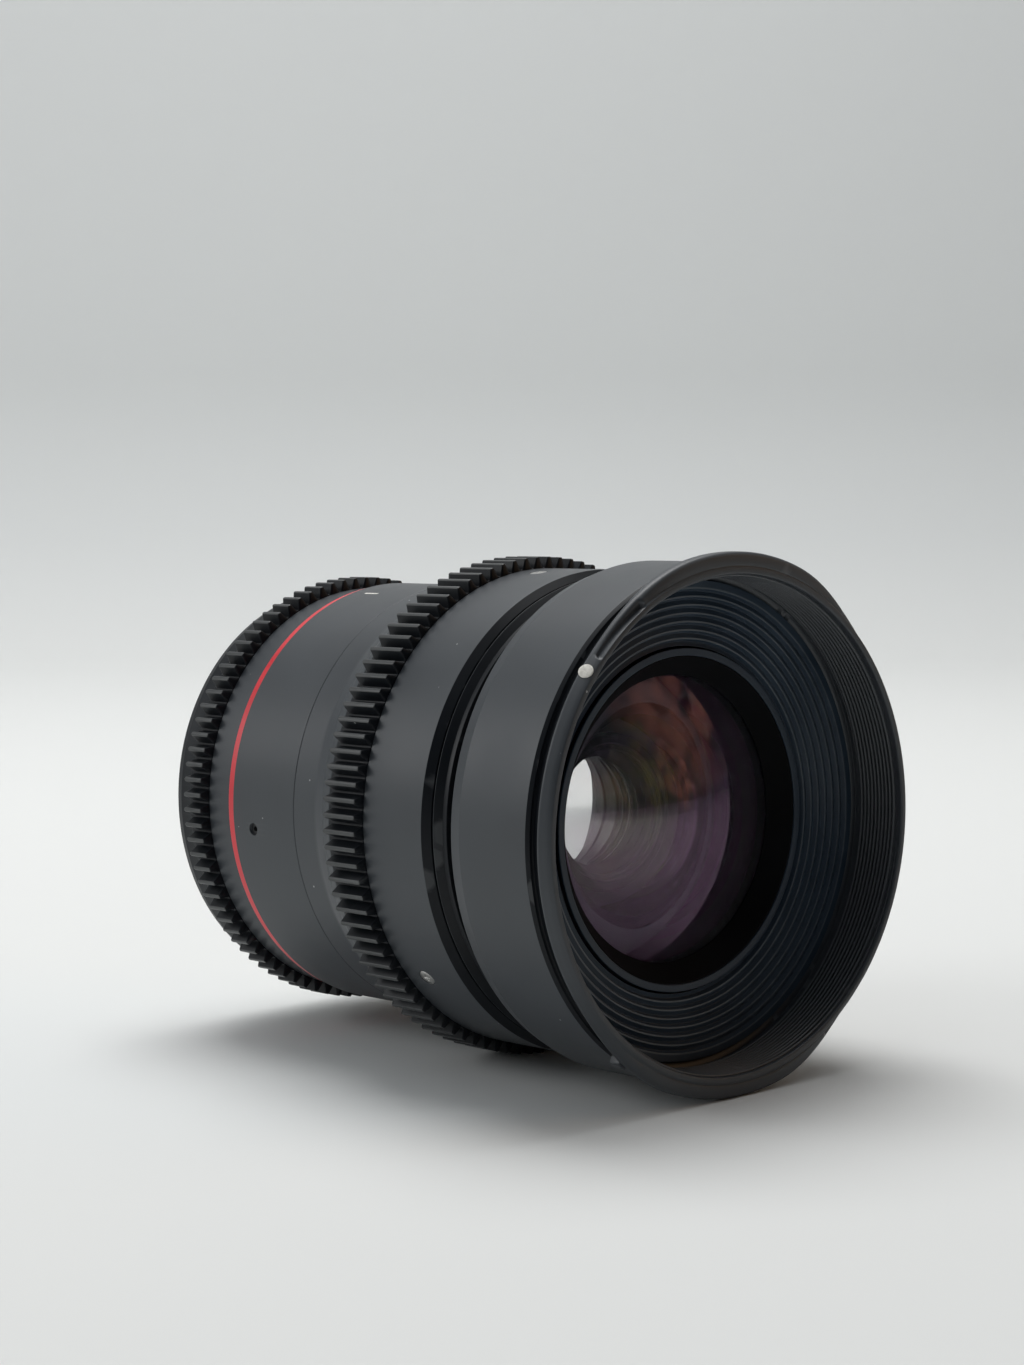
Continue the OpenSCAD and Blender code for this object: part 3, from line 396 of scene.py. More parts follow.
def satin_black(name, dark, light, roughness, dust_share, shine=0.5):
    """Satin anodising: bead-blasted grain, turning rings, paler worn edges and specks of dust."""
    material, tree, shader = new_finish(name)
    place = put(tree, "ShaderNodeTexCoord", {}).outputs["Object"]
    cloud = put(tree, "ShaderNodeTexNoise", {"Vector": place, "Scale": 70.0, "Detail": 5.0}).outputs["Fac"]
    grain = put(tree, "ShaderNodeTexNoise", {"Vector": place, "Scale": 5200.0, "Detail": 2.0}).outputs["Fac"]
    marks = lathe_marks(tree, place, 4200.0)
    tone = graded(tree, cloud, 0.32, 0.7, dark, light)
    edge = put(tree, "ShaderNodeNewGeometry", {}).outputs["Pointiness"]
    worn = put(tree, "ShaderNodeMapRange", {"Value": edge, "From Min": 0.55, "From Max": 0.66,
                                            "To Min": 0.0, "To Max": 0.4}).outputs["Result"]
    edged = put(tree, "ShaderNodeMix", {"Factor": worn, "A": tone, "B": SATIN_WORN}, data_type="RGBA")
    specks = put(tree, "ShaderNodeTexVoronoi", {"Vector": place, "Scale": 420.0, "Randomness": 1.0})
    near = put(tree, "ShaderNodeMath", {0: specks.outputs["Distance"], 1: 0.07}, operation="LESS_THAN")
    chosen = put(tree, "ShaderNodeSeparateColor", {"Color": specks.outputs["Color"]}).outputs["Red"]
    rare = put(tree, "ShaderNodeMath", {0: chosen, 1: dust_share}, operation="LESS_THAN")
    speck = put(tree, "ShaderNodeMath", {0: near.outputs[0], 1: rare.outputs[0]}, operation="MULTIPLY")
    dusty = put(tree, "ShaderNodeMix", {"Factor": speck.outputs[0], "A": edged.outputs["Result"], "B": DUST},
                data_type="RGBA")
    tree.links.new(dusty.outputs["Result"], shader.inputs["Base Color"])
    tree.links.new(ranged(tree, cloud, roughness - 0.05, roughness + 0.05), shader.inputs["Roughness"])
    rings = put(tree, "ShaderNodeBump", {"Height": marks, "Strength": 0.1, "Distance": 0.02 * MM})
    blasted = put(tree, "ShaderNodeBump", {"Height": grain, "Strength": 0.25, "Distance": 0.02 * MM,
                                           "Normal": rings.outputs["Normal"]})
    tree.links.new(blasted.outputs["Normal"], shader.inputs["Normal"])
    shader.inputs["Specular IOR Level"].default_value = shine
    return material


def dress(piece, material, body, slot, *replaced):
    """Finish, body and replaced CAD nodes of a new piece; the slot argument is not used."""
    piece.data.materials.append(material)
    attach(piece, body)
    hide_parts(*replaced)
    return piece


satin = satin_black("barrel_satin", SATIN_DARK, SATIN_LIGHT, 0.46, 0.05)
iris_r, _, iris_front = span("iris_ring")
iris_gear_tip, iris_rear, iris_teeth_front = span("iris_gear")
IRIS_BORE = 30.6
iris_band = turned("iris_band", [
    (IRIS_BORE, iris_teeth_front, 0), (iris_r - 0.1, iris_teeth_front, 0),
    (iris_r, iris_teeth_front + 0.1, 0), (iris_r, iris_front, 0.22), (IRIS_BORE, iris_front, 0)])
dress(iris_band, satin, "iris", "barrel_black", "iris_ring")


# Iris gear: a ring of 0.8 module teeth with a smooth skirt behind, moulded or cut in black.
# Each tooth has a rounded rear end where the cutter ran out, and a paler crest that is partly wear and partly
# painted highlight.
GEAR_MODULE = 0.8
# The gear black tones are partly the gear's own deep black and partly painted shade in the tooth gaps; they
# also serve as painted shade on the focus bevel, the stepped ring and the hood groove.
GEAR_BLACK_AND_SHADE_DARK = (0.005, 0.0065, 0.009, 1.0)
GEAR_BLACK_AND_SHADE_LIGHT = (0.010, 0.012, 0.015, 1.0)
# Crest tones: partly wear, partly painted highlight on the lit tooth tops.
CREST_WEAR_AND_HIGHLIGHT_DARK = (0.022, 0.025, 0.026, 1.0)
CREST_WEAR_AND_HIGHLIGHT_LIGHT = (0.034, 0.037, 0.038, 1.0)
CREST_DEPTH = 0.06
FLANK_SLOPE = math.tan(math.radians(20))
TOOTH_EDGE = 0.1
IRIS_TEETH = 90
IRIS_FIRST_TOOTH = 0.9
RUN_OUT_STEPS = (0.0, 0.04, 0.12, 0.25, 0.4, 0.55, 0.65, 0.7, 0.78, 0.88, 1.0, 1.2)


def round_end(half, distance):
    """Half width of a round-ended strip at a distance from its end."""
    inside = max(0.0, min(distance, half))
    return math.sqrt(half * half - (half - inside) ** 2)


def tooth_row(teeth, first, root, forward, crest, half_root, half_tip):
    """One row of points round the gear: the gap floor, the flanks and the crest of every tooth."""
    pitch = 2 * math.pi / teeth
    rise = crest - root
    edge = min(TOOTH_EDGE, 0.4 * rise)
    foot = min(TOOTH_EDGE, 0.4 * rise)
    half = [(pitch / 2 * root, root), (half_root + foot, root), (max(half_root - foot * 0.4, 0), root + foot),
            (half_tip + edge * 0.4, crest - edge), (max(half_tip - edge, 0), crest)]
    left = [(-w / r, r) for w, r in half]
    right = [(w / r, r) for w, r in reversed(half[1:])]
    row = []
    for k in range(teeth):
        middle = math.radians(first) + k * pitch
        for offset, r in left + [(0.0, crest)] + right:
            row.append(around(r, forward, middle + offset))
    return row


def toothed_ring(name, teeth, first, rear, front, before, after):
    """Gear with round-ended teeth between two turned outlines of radius and forward distance."""
    pitch_r = GEAR_MODULE * teeth / 2
    tip = pitch_r + GEAR_MODULE
    root = pitch_r - 1.25 * GEAR_MODULE
    half_pitch_line = math.pi * GEAR_MODULE / 4
    half_tip = half_pitch_line - GEAR_MODULE * FLANK_SLOPE
    half_root = half_pitch_line + 1.25 * GEAR_MODULE * FLANK_SLOPE
    lean = half_root - half_tip

    def plain(r, z):
        return [(r * x / root, -z * MM, r * y / root) for x, _, y in full]

    full = tooth_row(teeth, first, root, 0, root, half_root, half_tip)
    rows = [plain(r, z) for r, z in before]
    for distance in RUN_OUT_STEPS:
        crest = root + (tip - root) * min(1.0, distance / lean)
        rows.append(tooth_row(teeth, first, root, rear + distance, crest, round_end(half_root, distance),
                              round_end(half_tip, distance - lean)))
    rows.append(tooth_row(teeth, first, root, front - TOOTH_EDGE, tip, half_root, half_tip))
    rows.append(tooth_row(teeth, first, root, front, tip - TOOTH_EDGE, half_root - TOOTH_EDGE / 2,
                          half_tip - TOOTH_EDGE / 3))
    rows += [plain(r, z) for r, z in [(root, front)] + after]
    return weighted(lathe_grid(name, rows))


def second_finish(piece, material, chosen):
    """Another finish for the faces that a test picks by radius and forward distance."""
    piece.data.materials.append(material)
    for face in piece.data.polygons:
        x, y, z = face.center / MM
        if chosen(math.hypot(x, z), -y):
            face.material_index = 1


gear_black = satin_black("gear_black", GEAR_BLACK_AND_SHADE_DARK, GEAR_BLACK_AND_SHADE_LIGHT, 0.42, 0.03, 0.2)
worn_crest_and_highlight = satin_black("worn_crest_and_highlight", CREST_WEAR_AND_HIGHLIGHT_DARK, CREST_WEAR_AND_HIGHLIGHT_LIGHT, 0.4, 0.05)
IRIS_SKIRT_BORE = 33.2
IRIS_REAR_BAND = 4.2
iris_teeth_rear = iris_rear + IRIS_REAR_BAND
iris_edge = iris_r - 0.45
iris_gear = toothed_ring(
    "iris_gear_ring", IRIS_TEETH, IRIS_FIRST_TOOTH, iris_teeth_rear, iris_teeth_front,
    rounded([(IRIS_SKIRT_BORE, iris_teeth_front, 0), (IRIS_SKIRT_BORE, iris_rear, 0.2),
             (iris_edge, iris_rear, 0.3), (iris_r, iris_rear + 1.6, 0.3),
             (iris_r, iris_teeth_rear - 0.1, 0)])[1:],
    [(iris_r - 0.1, iris_teeth_front), (IRIS_SKIRT_BORE, iris_teeth_front)])
dress(iris_gear, gear_black, "iris", "gear_black", "iris_gear")
second_finish(iris_gear, worn_crest_and_highlight, lambda r, z: r > iris_gear_tip - CREST_DEPTH)


# Red ring: a thin aluminium ring, anodised bright red and pressed on the fixed barrel.
# It marks the joint between the iris ring and the barrel.
RED_DARK = (0.58, 0.018, 0.03, 1.0)
RED_LIGHT = (0.72, 0.035, 0.05, 1.0)
RED_BORE = 34.0


def red_anodise(name):
    """Bright red anodising with fine turning rings."""
    material, tree, shader = new_finish(name)
    place = put(tree, "ShaderNodeTexCoord", {}).outputs["Object"]
    cloud = put(tree, "ShaderNodeTexNoise", {"Vector": place, "Scale": 120.0, "Detail": 5.0}).outputs["Fac"]
    marks = lathe_marks(tree, place, 9000.0)
    tree.links.new(graded(tree, cloud, 0.3, 0.7, RED_DARK, RED_LIGHT), shader.inputs["Base Color"])
    tree.links.new(ranged(tree, cloud, 0.3, 0.4), shader.inputs["Roughness"])
    bump = put(tree, "ShaderNodeBump", {"Height": marks, "Strength": 0.15, "Distance": 0.02 * MM})
    tree.links.new(bump.outputs["Normal"], shader.inputs["Normal"])
    return material


red_r, red_rear, red_front = span("red_ring")
red_ring = turned("red_trim_ring", [
    (RED_BORE, red_rear, 0), (red_r, red_rear, 0.15), (red_r, red_front, 0.15), (RED_BORE, red_front, 0)])
dress(red_ring, red_anodise("red_anodise"), "barrel", "red_anodised", "red_ring")


# Fixed barrel: the plain sleeve between the two rings, turned and anodised satin black.
# Three grub screws pin it to the tube inside, sunk in plain holes.
SET_SCREW_ANGLES = (188.3, 308.3, 68.3)
SET_SCREW_Z = 23.3
SET_SCREW_R = 1.02
BARREL_BORE = 33.0


def cut(piece, cutter):
    """Takes a cutter's shape out of a piece and removes the cutter."""
    weights = [m.name for m in piece.modifiers]
    for name in weights:
        piece.modifiers.remove(piece.modifiers[name])
    boolean = piece.modifiers.new("cut", "BOOLEAN")
    boolean.operation = "DIFFERENCE"
    boolean.solver = "EXACT"
    boolean.object = cutter
    bpy.context.view_layer.update()
    carved = bpy.data.meshes.new_from_object(piece.evaluated_get(bpy.context.evaluated_depsgraph_get()))
    piece.modifiers.clear()
    piece.data = carved
    bpy.data.objects.remove(cutter)
    return weighted(piece)


def radial_rows(outline, steps, angle, forward):
    """Rows of a small round feature that points outward: outline of own radius and distance from the axis."""
    turn = math.radians(angle)
    out = Vector((math.cos(turn), 0, math.sin(turn)))
    side = Vector((-math.sin(turn), 0, math.cos(turn)))
    ahead = Vector((0, -1, 0))
    rows = []
    for r, reach in outline:
        row = []
        for k in range(steps):
            t = 2 * math.pi * k / steps
            row.append((out * reach + ahead * (forward + r * math.cos(t)) + side * r * math.sin(t)) * MM)
        rows.append(row)
    return rows


def round_cutter(outline, angles, forward):
    """Closed round cutters on the given angles, from an outline that starts and ends at a tiny radius."""
    mesh = bmesh.new()
    for angle in angles:
        rings = [[mesh.verts.new(p) for p in row] for row in radial_rows(outline, 32, angle, forward)]
        for low, high in zip(rings, rings[1:]):
            for k in range(32):
                mesh.faces.new((low[k], low[(k + 1) % 32], high[(k + 1) % 32], high[k]))
        mesh.faces.new(rings[0])
        mesh.faces.new(rings[-1])
    return link_mesh("cutter", mesh)


fixed_r, _, fixed_front = span("fixed_barrel")
SEAM = 0.27
fixed_barrel = turned("barrel_sleeve", [
    (BARREL_BORE, red_front, 0), (fixed_r, red_front, 0.18), (fixed_r, fixed_front + SEAM, 0.16),
    (BARREL_BORE, fixed_front + SEAM, 0)])
cut(fixed_barrel, round_cutter([(SET_SCREW_R, fixed_r - 1.6), (SET_SCREW_R, fixed_r - 0.1),
                                (SET_SCREW_R + 0.12, fixed_r + 0.05), (SET_SCREW_R + 0.12, fixed_r + 1)],
                               SET_SCREW_ANGLES, SET_SCREW_Z))
dress(fixed_barrel, satin, "barrel", "barrel_black", "fixed_barrel")


# Index mark: a short line of white paint in an engraved stroke on the fixed barrel.
# The scales of the rings are read against it.
PAINT = (0.74, 0.72, 0.66, 1.0)
PAINT_OLD = (0.55, 0.53, 0.48, 1.0)


def paint_fill(name):
    """Off-white paint filled into a recess, a little uneven."""
    material, tree, shader = new_finish(name)
    place = put(tree, "ShaderNodeTexCoord", {}).outputs["Object"]
    stain = put(tree, "ShaderNodeTexNoise", {"Vector": place, "Scale": 1800.0, "Detail": 4.0}).outputs["Fac"]
    tree.links.new(graded(tree, stain, 0.3, 0.62, PAINT_OLD, PAINT), shader.inputs["Base Color"])
    bump = put(tree, "ShaderNodeBump", {"Height": stain, "Strength": 0.3, "Distance": 0.03 * MM})
    tree.links.new(bump.outputs["Normal"], shader.inputs["Normal"])
    shader.inputs["Roughness"].default_value = 0.5
    return material


white_paint = paint_fill("white_paint")
INDEX_ANGLE = 109.0
INDEX_REAR = 21.6
INDEX_FRONT = 25.0
INDEX_HALF = 0.25


def curved_patch(name, radius, thick, rear, front, angle, half):
    """Thin patch that lies on a barrel, half its width to each side of an angle."""
    angles = [math.radians(angle) + half / radius * (k / 4 - 1) for k in range(9)]
    mesh = bmesh.new()
    rings = [[mesh.verts.new(around(radius + dr, z, a)) for a in angles]
             for dr, z in ((-0.05, rear), (thick, rear + 0.04), (thick, front - 0.04), (-0.05, front))]
    for low, high in zip(rings, rings[1:] + rings[:1]):
        for k in range(8):
            mesh.faces.new((low[k], low[k + 1], high[k + 1], high[k]))
    mesh.faces.new([ring[0] for ring in rings])
    mesh.faces.new([ring[-1] for ring in rings])
    return link_mesh(name, mesh)


index_mark = curved_patch("index_mark", fixed_r, 0.015, INDEX_REAR, INDEX_FRONT, INDEX_ANGLE, INDEX_HALF)
index_mark.data.materials.append(white_paint)
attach(index_mark, "barrel")


# Focus sleeve: the flared rear skirt of the focus ring, turned and anodised satin black.
# It leaves a hairline gap to the fixed barrel and swells up to the gear.
SLEEVE_BORE = 34.4
sleeve_r, sleeve_rear, _ = span("focus_sleeve")
focus_tip, focus_teeth_rear, focus_teeth_front = span("focus_gear")
flare_rear = sleeve_rear + 5.7
focus_sleeve = turned("focus_skirt", [
    (SLEEVE_BORE, sleeve_rear, 0), (fixed_r, sleeve_rear, 0.14), (fixed_r + 0.1, flare_rear, 4),
    (fixed_r + 0.9, flare_rear + 2.8, 6), (sleeve_r - 0.35, flare_rear + 5.6, 3),
    (sleeve_r, focus_teeth_rear, 0.1), (SLEEVE_BORE, focus_teeth_rear, 0)])
dress(focus_sleeve, satin, "focus", "barrel_black", "focus_sleeve")


# Focus gear: the large follow-focus ring with 100 teeth of 0.8 module, cut in black.
# It is slid over the core of the focus ring and screwed tight.
FOCUS_TEETH = 100
FOCUS_FIRST_TOOTH = 1.1
FOCUS_GEAR_BORE = 37.62
focus_gear = toothed_ring(
    "focus_gear_ring", FOCUS_TEETH, FOCUS_FIRST_TOOTH, focus_teeth_rear + 0.1, focus_teeth_front,
    [(FOCUS_GEAR_BORE, focus_teeth_rear), (sleeve_r, focus_teeth_rear)],
    [(FOCUS_GEAR_BORE, focus_teeth_front)])
dress(focus_gear, gear_black, "focus", "gear_black", "focus_gear")
# The paler crests are partly wear and partly painted highlight; the dark body is partly painted shade.
second_finish(focus_gear, worn_crest_and_highlight, lambda r, z: r > focus_tip - CREST_DEPTH)


# Focus ring: the smooth grip band in front of the gear, turned and anodised satin black.
# Its front end is bevelled, and three countersunk screws tie it to the cam inside.
FOCUS_BORE = 36.6
FOCUS_BEVEL = 1.1
FOCUS_SCREW_ANGLES = (101.5, 221.5, 341.5)
FOCUS_SCREW_Z = 60.2
SCREW_HEAD_R = 1.4
focus_r, _, focus_front = span("focus_ring")
focus_ring = turned("focus_grip", [
    (FOCUS_BORE, focus_teeth_front, 0), (focus_r - 0.06, focus_teeth_front, 0.02),
    (focus_r, focus_teeth_front + 0.12, 0.05), (focus_r, focus_front - FOCUS_BEVEL, 0.12),
    (focus_r - FOCUS_BEVEL, focus_front, 0.12), (FOCUS_BORE, focus_front, 0)])
cut(focus_ring, round_cutter([(SCREW_HEAD_R + 0.06, focus_r - 0.9), (SCREW_HEAD_R + 0.06, focus_r - 0.08),
                              (SCREW_HEAD_R + 0.2, focus_r + 0.08), (SCREW_HEAD_R + 0.2, focus_r + 1)],
                             FOCUS_SCREW_ANGLES, FOCUS_SCREW_Z))
dress(focus_ring, satin, "focus", "barrel_black", "focus_ring")
# The front bevel takes the darker gear black as painted shade.
second_finish(focus_ring, gear_black,
              lambda r, z: z > focus_front - FOCUS_BEVEL + 0.05 and r > FOCUS_BORE + 0.5)


# Focus screws: three countersunk steel screws with a cross recess, flush with the grip band.
# They are bright steel and hold the ring to the cam barrel.
CROSS_LENGTH = 0.85
CROSS_WIDTH = 0.17
CROSS_DEPTH = 0.5


def cross_cutter(top, angle, forward):
    """Plus-shaped wedge for a screw's recess."""
    turn = math.radians(angle)
    out = Vector((math.cos(turn), 0, math.sin(turn)))
    side = Vector((-math.sin(turn), 0, math.cos(turn)))
    ahead = Vector((0, -1, 0))
    arm = [(CROSS_LENGTH, -CROSS_WIDTH), (CROSS_LENGTH, CROSS_WIDTH), (CROSS_WIDTH, CROSS_WIDTH)]
    half = arm + [(-y, x) for x, y in arm]
    plus = half + [(-x, -y) for x, y in half]
    mesh = bmesh.new()
    rings = []
    for reach, shrink in ((top - CROSS_DEPTH, 0.6), (top + 0.5, 1.1)):
        ring = [out * reach + ahead * (forward + x * shrink) + side * y * shrink for x, y in plus]
        rings.append([mesh.verts.new(point * MM) for point in ring])
    for k in range(len(plus)):
        after = (k + 1) % len(plus)
        mesh.faces.new((rings[0][k], rings[0][after], rings[1][after], rings[1][k]))
    mesh.faces.new(rings[0])
    mesh.faces.new(rings[1])
    return link_mesh("cutter", mesh)


def cross_head_screw(name, top, angle, forward):
    """Countersunk screw head with a rounded rim and a cross recess."""
    outline = [(0.7, top - 1.4), (0.75, top - 0.75), (SCREW_HEAD_R, top - 0.12), (SCREW_HEAD_R, top - 0.04),
               (SCREW_HEAD_R - 0.06, top), (0.8, top + 0.02), (0.4, top + 0.03)]
    rows = radial_rows(outline, 48, angle, forward)
    mesh = bmesh.new()
    rings = [[mesh.verts.new(p) for p in row] for row in rows]
    for low, high in zip(rings, rings[1:]):
        for k in range(48):
            mesh.faces.new((low[k], low[(k + 1) % 48], high[(k + 1) % 48], high[k]))
    mesh.faces.new(rings[0])
    mesh.faces.new(rings[-1])
    piece = link_mesh(name, mesh)
    return cut(piece, cross_cutter(top, angle, forward))


for number, angle in enumerate(FOCUS_SCREW_ANGLES):
    screw = cross_head_screw("focus_screw_%d" % (number + 1), focus_r - 0.06, angle, FOCUS_SCREW_Z)
    dress(screw, screw_steel, "focus", "screw_steel", "focus_screws")


# Stepped ring: a narrow fixed ring in front of the focus ring, turned and anodised black.
# A bevel and a small land make two thin bands of light; they are coloured in the darker gear black as painted
# shade, and only the outer edge is satin.
STEP_BORE = 32.6
STEP_LAND = 0.9
STEP_DROP = 1.1
step_r, step_rear, step_front = span("stepped_ring")
stepped_ring = turned("step_ring", [
    (STEP_BORE, step_rear, 0), (step_r - 0.1, step_rear, 0.08), (step_r, step_rear + 0.15, 0.06),
    (step_r - STEP_DROP, step_front - STEP_LAND, 0.06), (step_r - STEP_DROP, step_front, 0.1),
    (STEP_BORE, step_front, 0)])
# Darker gear black on the bevel and land: painted shade.
step_painted_shade = satin_black("step_painted_shade", GEAR_BLACK_AND_SHADE_DARK, GEAR_BLACK_AND_SHADE_LIGHT, 0.4, 0.03, 0.25)
dress(stepped_ring, step_painted_shade, "barrel", "barrel_black", "stepped_ring")
second_finish(stepped_ring, satin, lambda r, z: r > step_r - 0.09)


# Front barrel: the widest ring, turned from aluminium and anodised satin black.
# Its rim has a groove and two lugs for a hood, and a shallow cut beside each lug where the hood drops in.
NECK_R = 35.5
BARREL_BEVEL = 2.7
BARREL_BEVEL_H = 0.8
BARREL_LEN = 17.7
GROOVE_W = 1.9
GROOVE_D = 1.1
RIM_W = 2.2
LUG_ANGLES = (90.0, 270.0)
LUG_ARC = 66.0
ENTRY_ARC = 17.0
STOP_ARC = 3.0
END_BLEND = 1.0
LUG_FADE = 34.0
THREAD_R = 38.5
THREAD_REAR = 88.8
BAFFLE_SEAT = 0.6
BAFFLE_R = 36.2
low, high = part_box("front_barrel")
barrel_front = -low.y / MM
barrel_rim_rear = barrel_front - RIM_W
barrel_groove = barrel_rim_rear - GROOVE_W
barrel_rear = barrel_groove - BARREL_LEN
barrel_r = THREAD_R + 1.9
lug_r = high.z / MM
groove_r = barrel_r - GROOVE_D


def eased(value):
    value = max(0.0, min(1.0, value))
    return value * value * (3 - 2 * value)


def in_arc(angle, start, arc, blend):
    """1 inside an arc and 0 outside it, with eased ends, in degrees."""
    off = abs((angle - start - arc / 2 + 180) % 360 - 180)
    return eased((arc / 2 - off) / blend + 0.5)


def rim_outline(lug, entry, stop):
    """Outline of the rim from the groove to the lip, for a share of lug, hood entry and groove stop."""
    z0, z1 = barrel_rim_rear, barrel_front
    plain = [(groove_r, z0), (barrel_r - 0.1, z0), (barrel_r, z0 + 0.1), (barrel_r, z0 + 0.3),
             (barrel_r - 0.1, z0 + 0.55), (barrel_r - 0.33, z0 + 1.1), (39.88, z0 + 1.58), (39.84, z0 + 1.64),
             (39.76, z0 + 1.76), (39.56, z1 - 0.1), (39.42, z1)]
    raised = [(groove_r, z0), (lug_r - 0.2, z0), (lug_r, z0 + 0.2), (lug_r, z1 - 0.95),
              (lug_r - 0.2, z1 - 0.42), (lug_r - 0.75, z1 - 0.15), (40.0, z1 - 0.15), (39.9, z1 - 0.27),
              (39.72, z1 - 0.27),
              (39.56, z1 - 0.06), (39.42, z1)]
    lowered = plain[:5] + [(barrel_r - 0.28, z0 + 0.95), (barrel_r - 0.36, z0 + 1.0), (39.62, z0 + 1.0),
                           (39.54, z0 + 1.1), (39.52, z1 - 0.1), (39.42, z1)]
    points = []
    for k in range(len(plain)):
        r = plain[k][0] + lug * (raised[k][0] - plain[k][0]) + entry * (lowered[k][0] - plain[k][0])
        z = plain[k][1] + lug * (raised[k][1] - plain[k][1]) + entry * (lowered[k][1] - plain[k][1])
        points.append((r, z))
    points[0] = (groove_r + stop * (lug_r - 0.4 - groove_r), z0)
    return points


body_outline = rounded([
    (NECK_R, step_front, 0), (NECK_R, barrel_rear, 0), (barrel_r - BARREL_BEVEL_H, barrel_rear, 0.1),
    (barrel_r, barrel_rear + BARREL_BEVEL, 0.3), (barrel_r, barrel_groove - 0.6, 0.12),
    (barrel_r - 0.4, barrel_groove, 0.08), (groove_r, barrel_groove, 0)])
bore_outline = [(38.8, barrel_front), (38.62, barrel_front - 0.1), (THREAD_R, barrel_front - 0.35),
                (THREAD_R, THREAD_REAR), (THREAD_R + 0.3, THREAD_REAR),
                (THREAD_R + 0.3, THREAD_REAR - BAFFLE_SEAT), (BAFFLE_R, THREAD_REAR - BAFFLE_SEAT),
                (BAFFLE_R, barrel_rear + 2.5), (32.0, barrel_rear + 2.5), (32.0, step_front)]
rim_angles = {float(k) for k in range(360)}
for middle in LUG_ANGLES:
    for end in (middle - LUG_ARC / 2, middle - LUG_ARC / 2 + STOP_ARC, middle + LUG_ARC / 2,
                middle + LUG_ARC / 2 + ENTRY_ARC):
        rim_angles |= {round(end + 0.125 * k, 3) % 360 for k in range(-5, 6)}
columns = []
for angle in sorted(rim_angles):
    lug = max(in_arc(angle, middle - LUG_ARC / 2, LUG_ARC, LUG_FADE) for middle in LUG_ANGLES)
    entry = max(in_arc(angle, middle + LUG_ARC / 2, ENTRY_ARC, END_BLEND) for middle in LUG_ANGLES)
    stop = max(in_arc(angle, middle - LUG_ARC / 2, STOP_ARC, END_BLEND) for middle in LUG_ANGLES)
    groove_end = [(groove_r + stop * (lug_r - 0.4 - groove_r), barrel_groove + 0.02)]
    outline = body_outline + groove_end + rim_outline(lug, entry, stop) + bore_outline
    columns.append([around(r, z, math.radians(angle)) for r, z in outline])
front_barrel = weighted(lathe_grid("front_barrel_shell", list(zip(*columns))))
dress(front_barrel, satin, "barrel", "barrel_black", "front_barrel")
# The hood groove takes the darker gear black as painted shade.
second_finish(front_barrel, gear_black, lambda r, z: groove_r - 0.2 < r < barrel_r - 0.15
              and barrel_groove - 0.45 < z < barrel_rim_rear + 0.05)


# Filter thread: the fine 0.75 mm thread cut inside the rim, one long helix.
# Its crests catch the light as thin rings.
THREAD_PITCH = 0.75
THREAD_DEPTH = 0.34
THREAD_TURNS = 11
TURN_POINTS = 144


def helix_ridge(name):
    """A three-sided ridge that climbs the bore."""
    mesh = bmesh.new()
    count = THREAD_TURNS * TURN_POINTS
    rings = []
    for k in range(count + 1):
        angle = 2 * math.pi * k / TURN_POINTS
        z = THREAD_REAR + 0.6 + THREAD_PITCH * k / TURN_POINTS
        fade = eased(min(k, count - k) / TURN_POINTS * 4)
        crest = THREAD_R - THREAD_DEPTH * fade
        foot = THREAD_R + 0.03
        shape = [(foot, z - 0.34), (crest, z - 0.05), (crest, z + 0.05), (foot, z + 0.34)]
        rings.append([mesh.verts.new(around(r, zz, angle)) for r, zz in shape])
    for low, high in zip(rings, rings[1:]):
        for k in range(4):
            mesh.faces.new((low[k], low[(k + 1) % 4], high[(k + 1) % 4], high[k]))
    mesh.faces.new(rings[0])
    mesh.faces.new(rings[-1])
    return link_mesh(name, mesh)


filter_thread = helix_ridge("filter_thread")
filter_thread.data.materials.append(satin)
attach(filter_thread, "barrel")


# Hood dot: a round recess in the rim's bevel, filled with white paint.
# It shows where the hood is put on.
DOT_R = 1.15
DOT_ANGLE = 144.0
DOT_RIM = (barrel_r - 0.27, barrel_rim_rear + 1.0)


def rim_dot(name):
    """Slightly domed dot that lies on the rim's bevel."""
    turn = math.radians(DOT_ANGLE)
    radial = Vector((math.cos(turn), 0, math.sin(turn)))
    ahead = Vector((0, -1, 0))
    side = Vector((-math.sin(turn), 0, math.cos(turn)))
    normal = (radial * 0.93 + ahead * 0.36).normalized()
    down = normal.cross(side)
    centre = radial * DOT_RIM[0] + ahead * DOT_RIM[1]
    mesh = bmesh.new()
    rings = []
    for r, lift in ((DOT_R, -0.3), (DOT_R, 0.06), (DOT_R - 0.08, 0.09), (0.5, 0.11)):
        ring = []
        for k in range(40):
            t = 2 * math.pi * k / 40
            point = centre + normal * lift + side * r * math.cos(t) + down * r * math.sin(t)
            ring.append(mesh.verts.new(point * MM))
        rings.append(ring)
    for low, high in zip(rings, rings[1:]):
        for k in range(40):
            mesh.faces.new((low[k], low[(k + 1) % 40], high[(k + 1) % 40], high[k]))
    mesh.faces.new(rings[0])
    mesh.faces.new(rings[-1])
    return link_mesh(name, mesh)


dress(rim_dot("rim_dot"), white_paint, "barrel", "white_paint", "hood_dot")


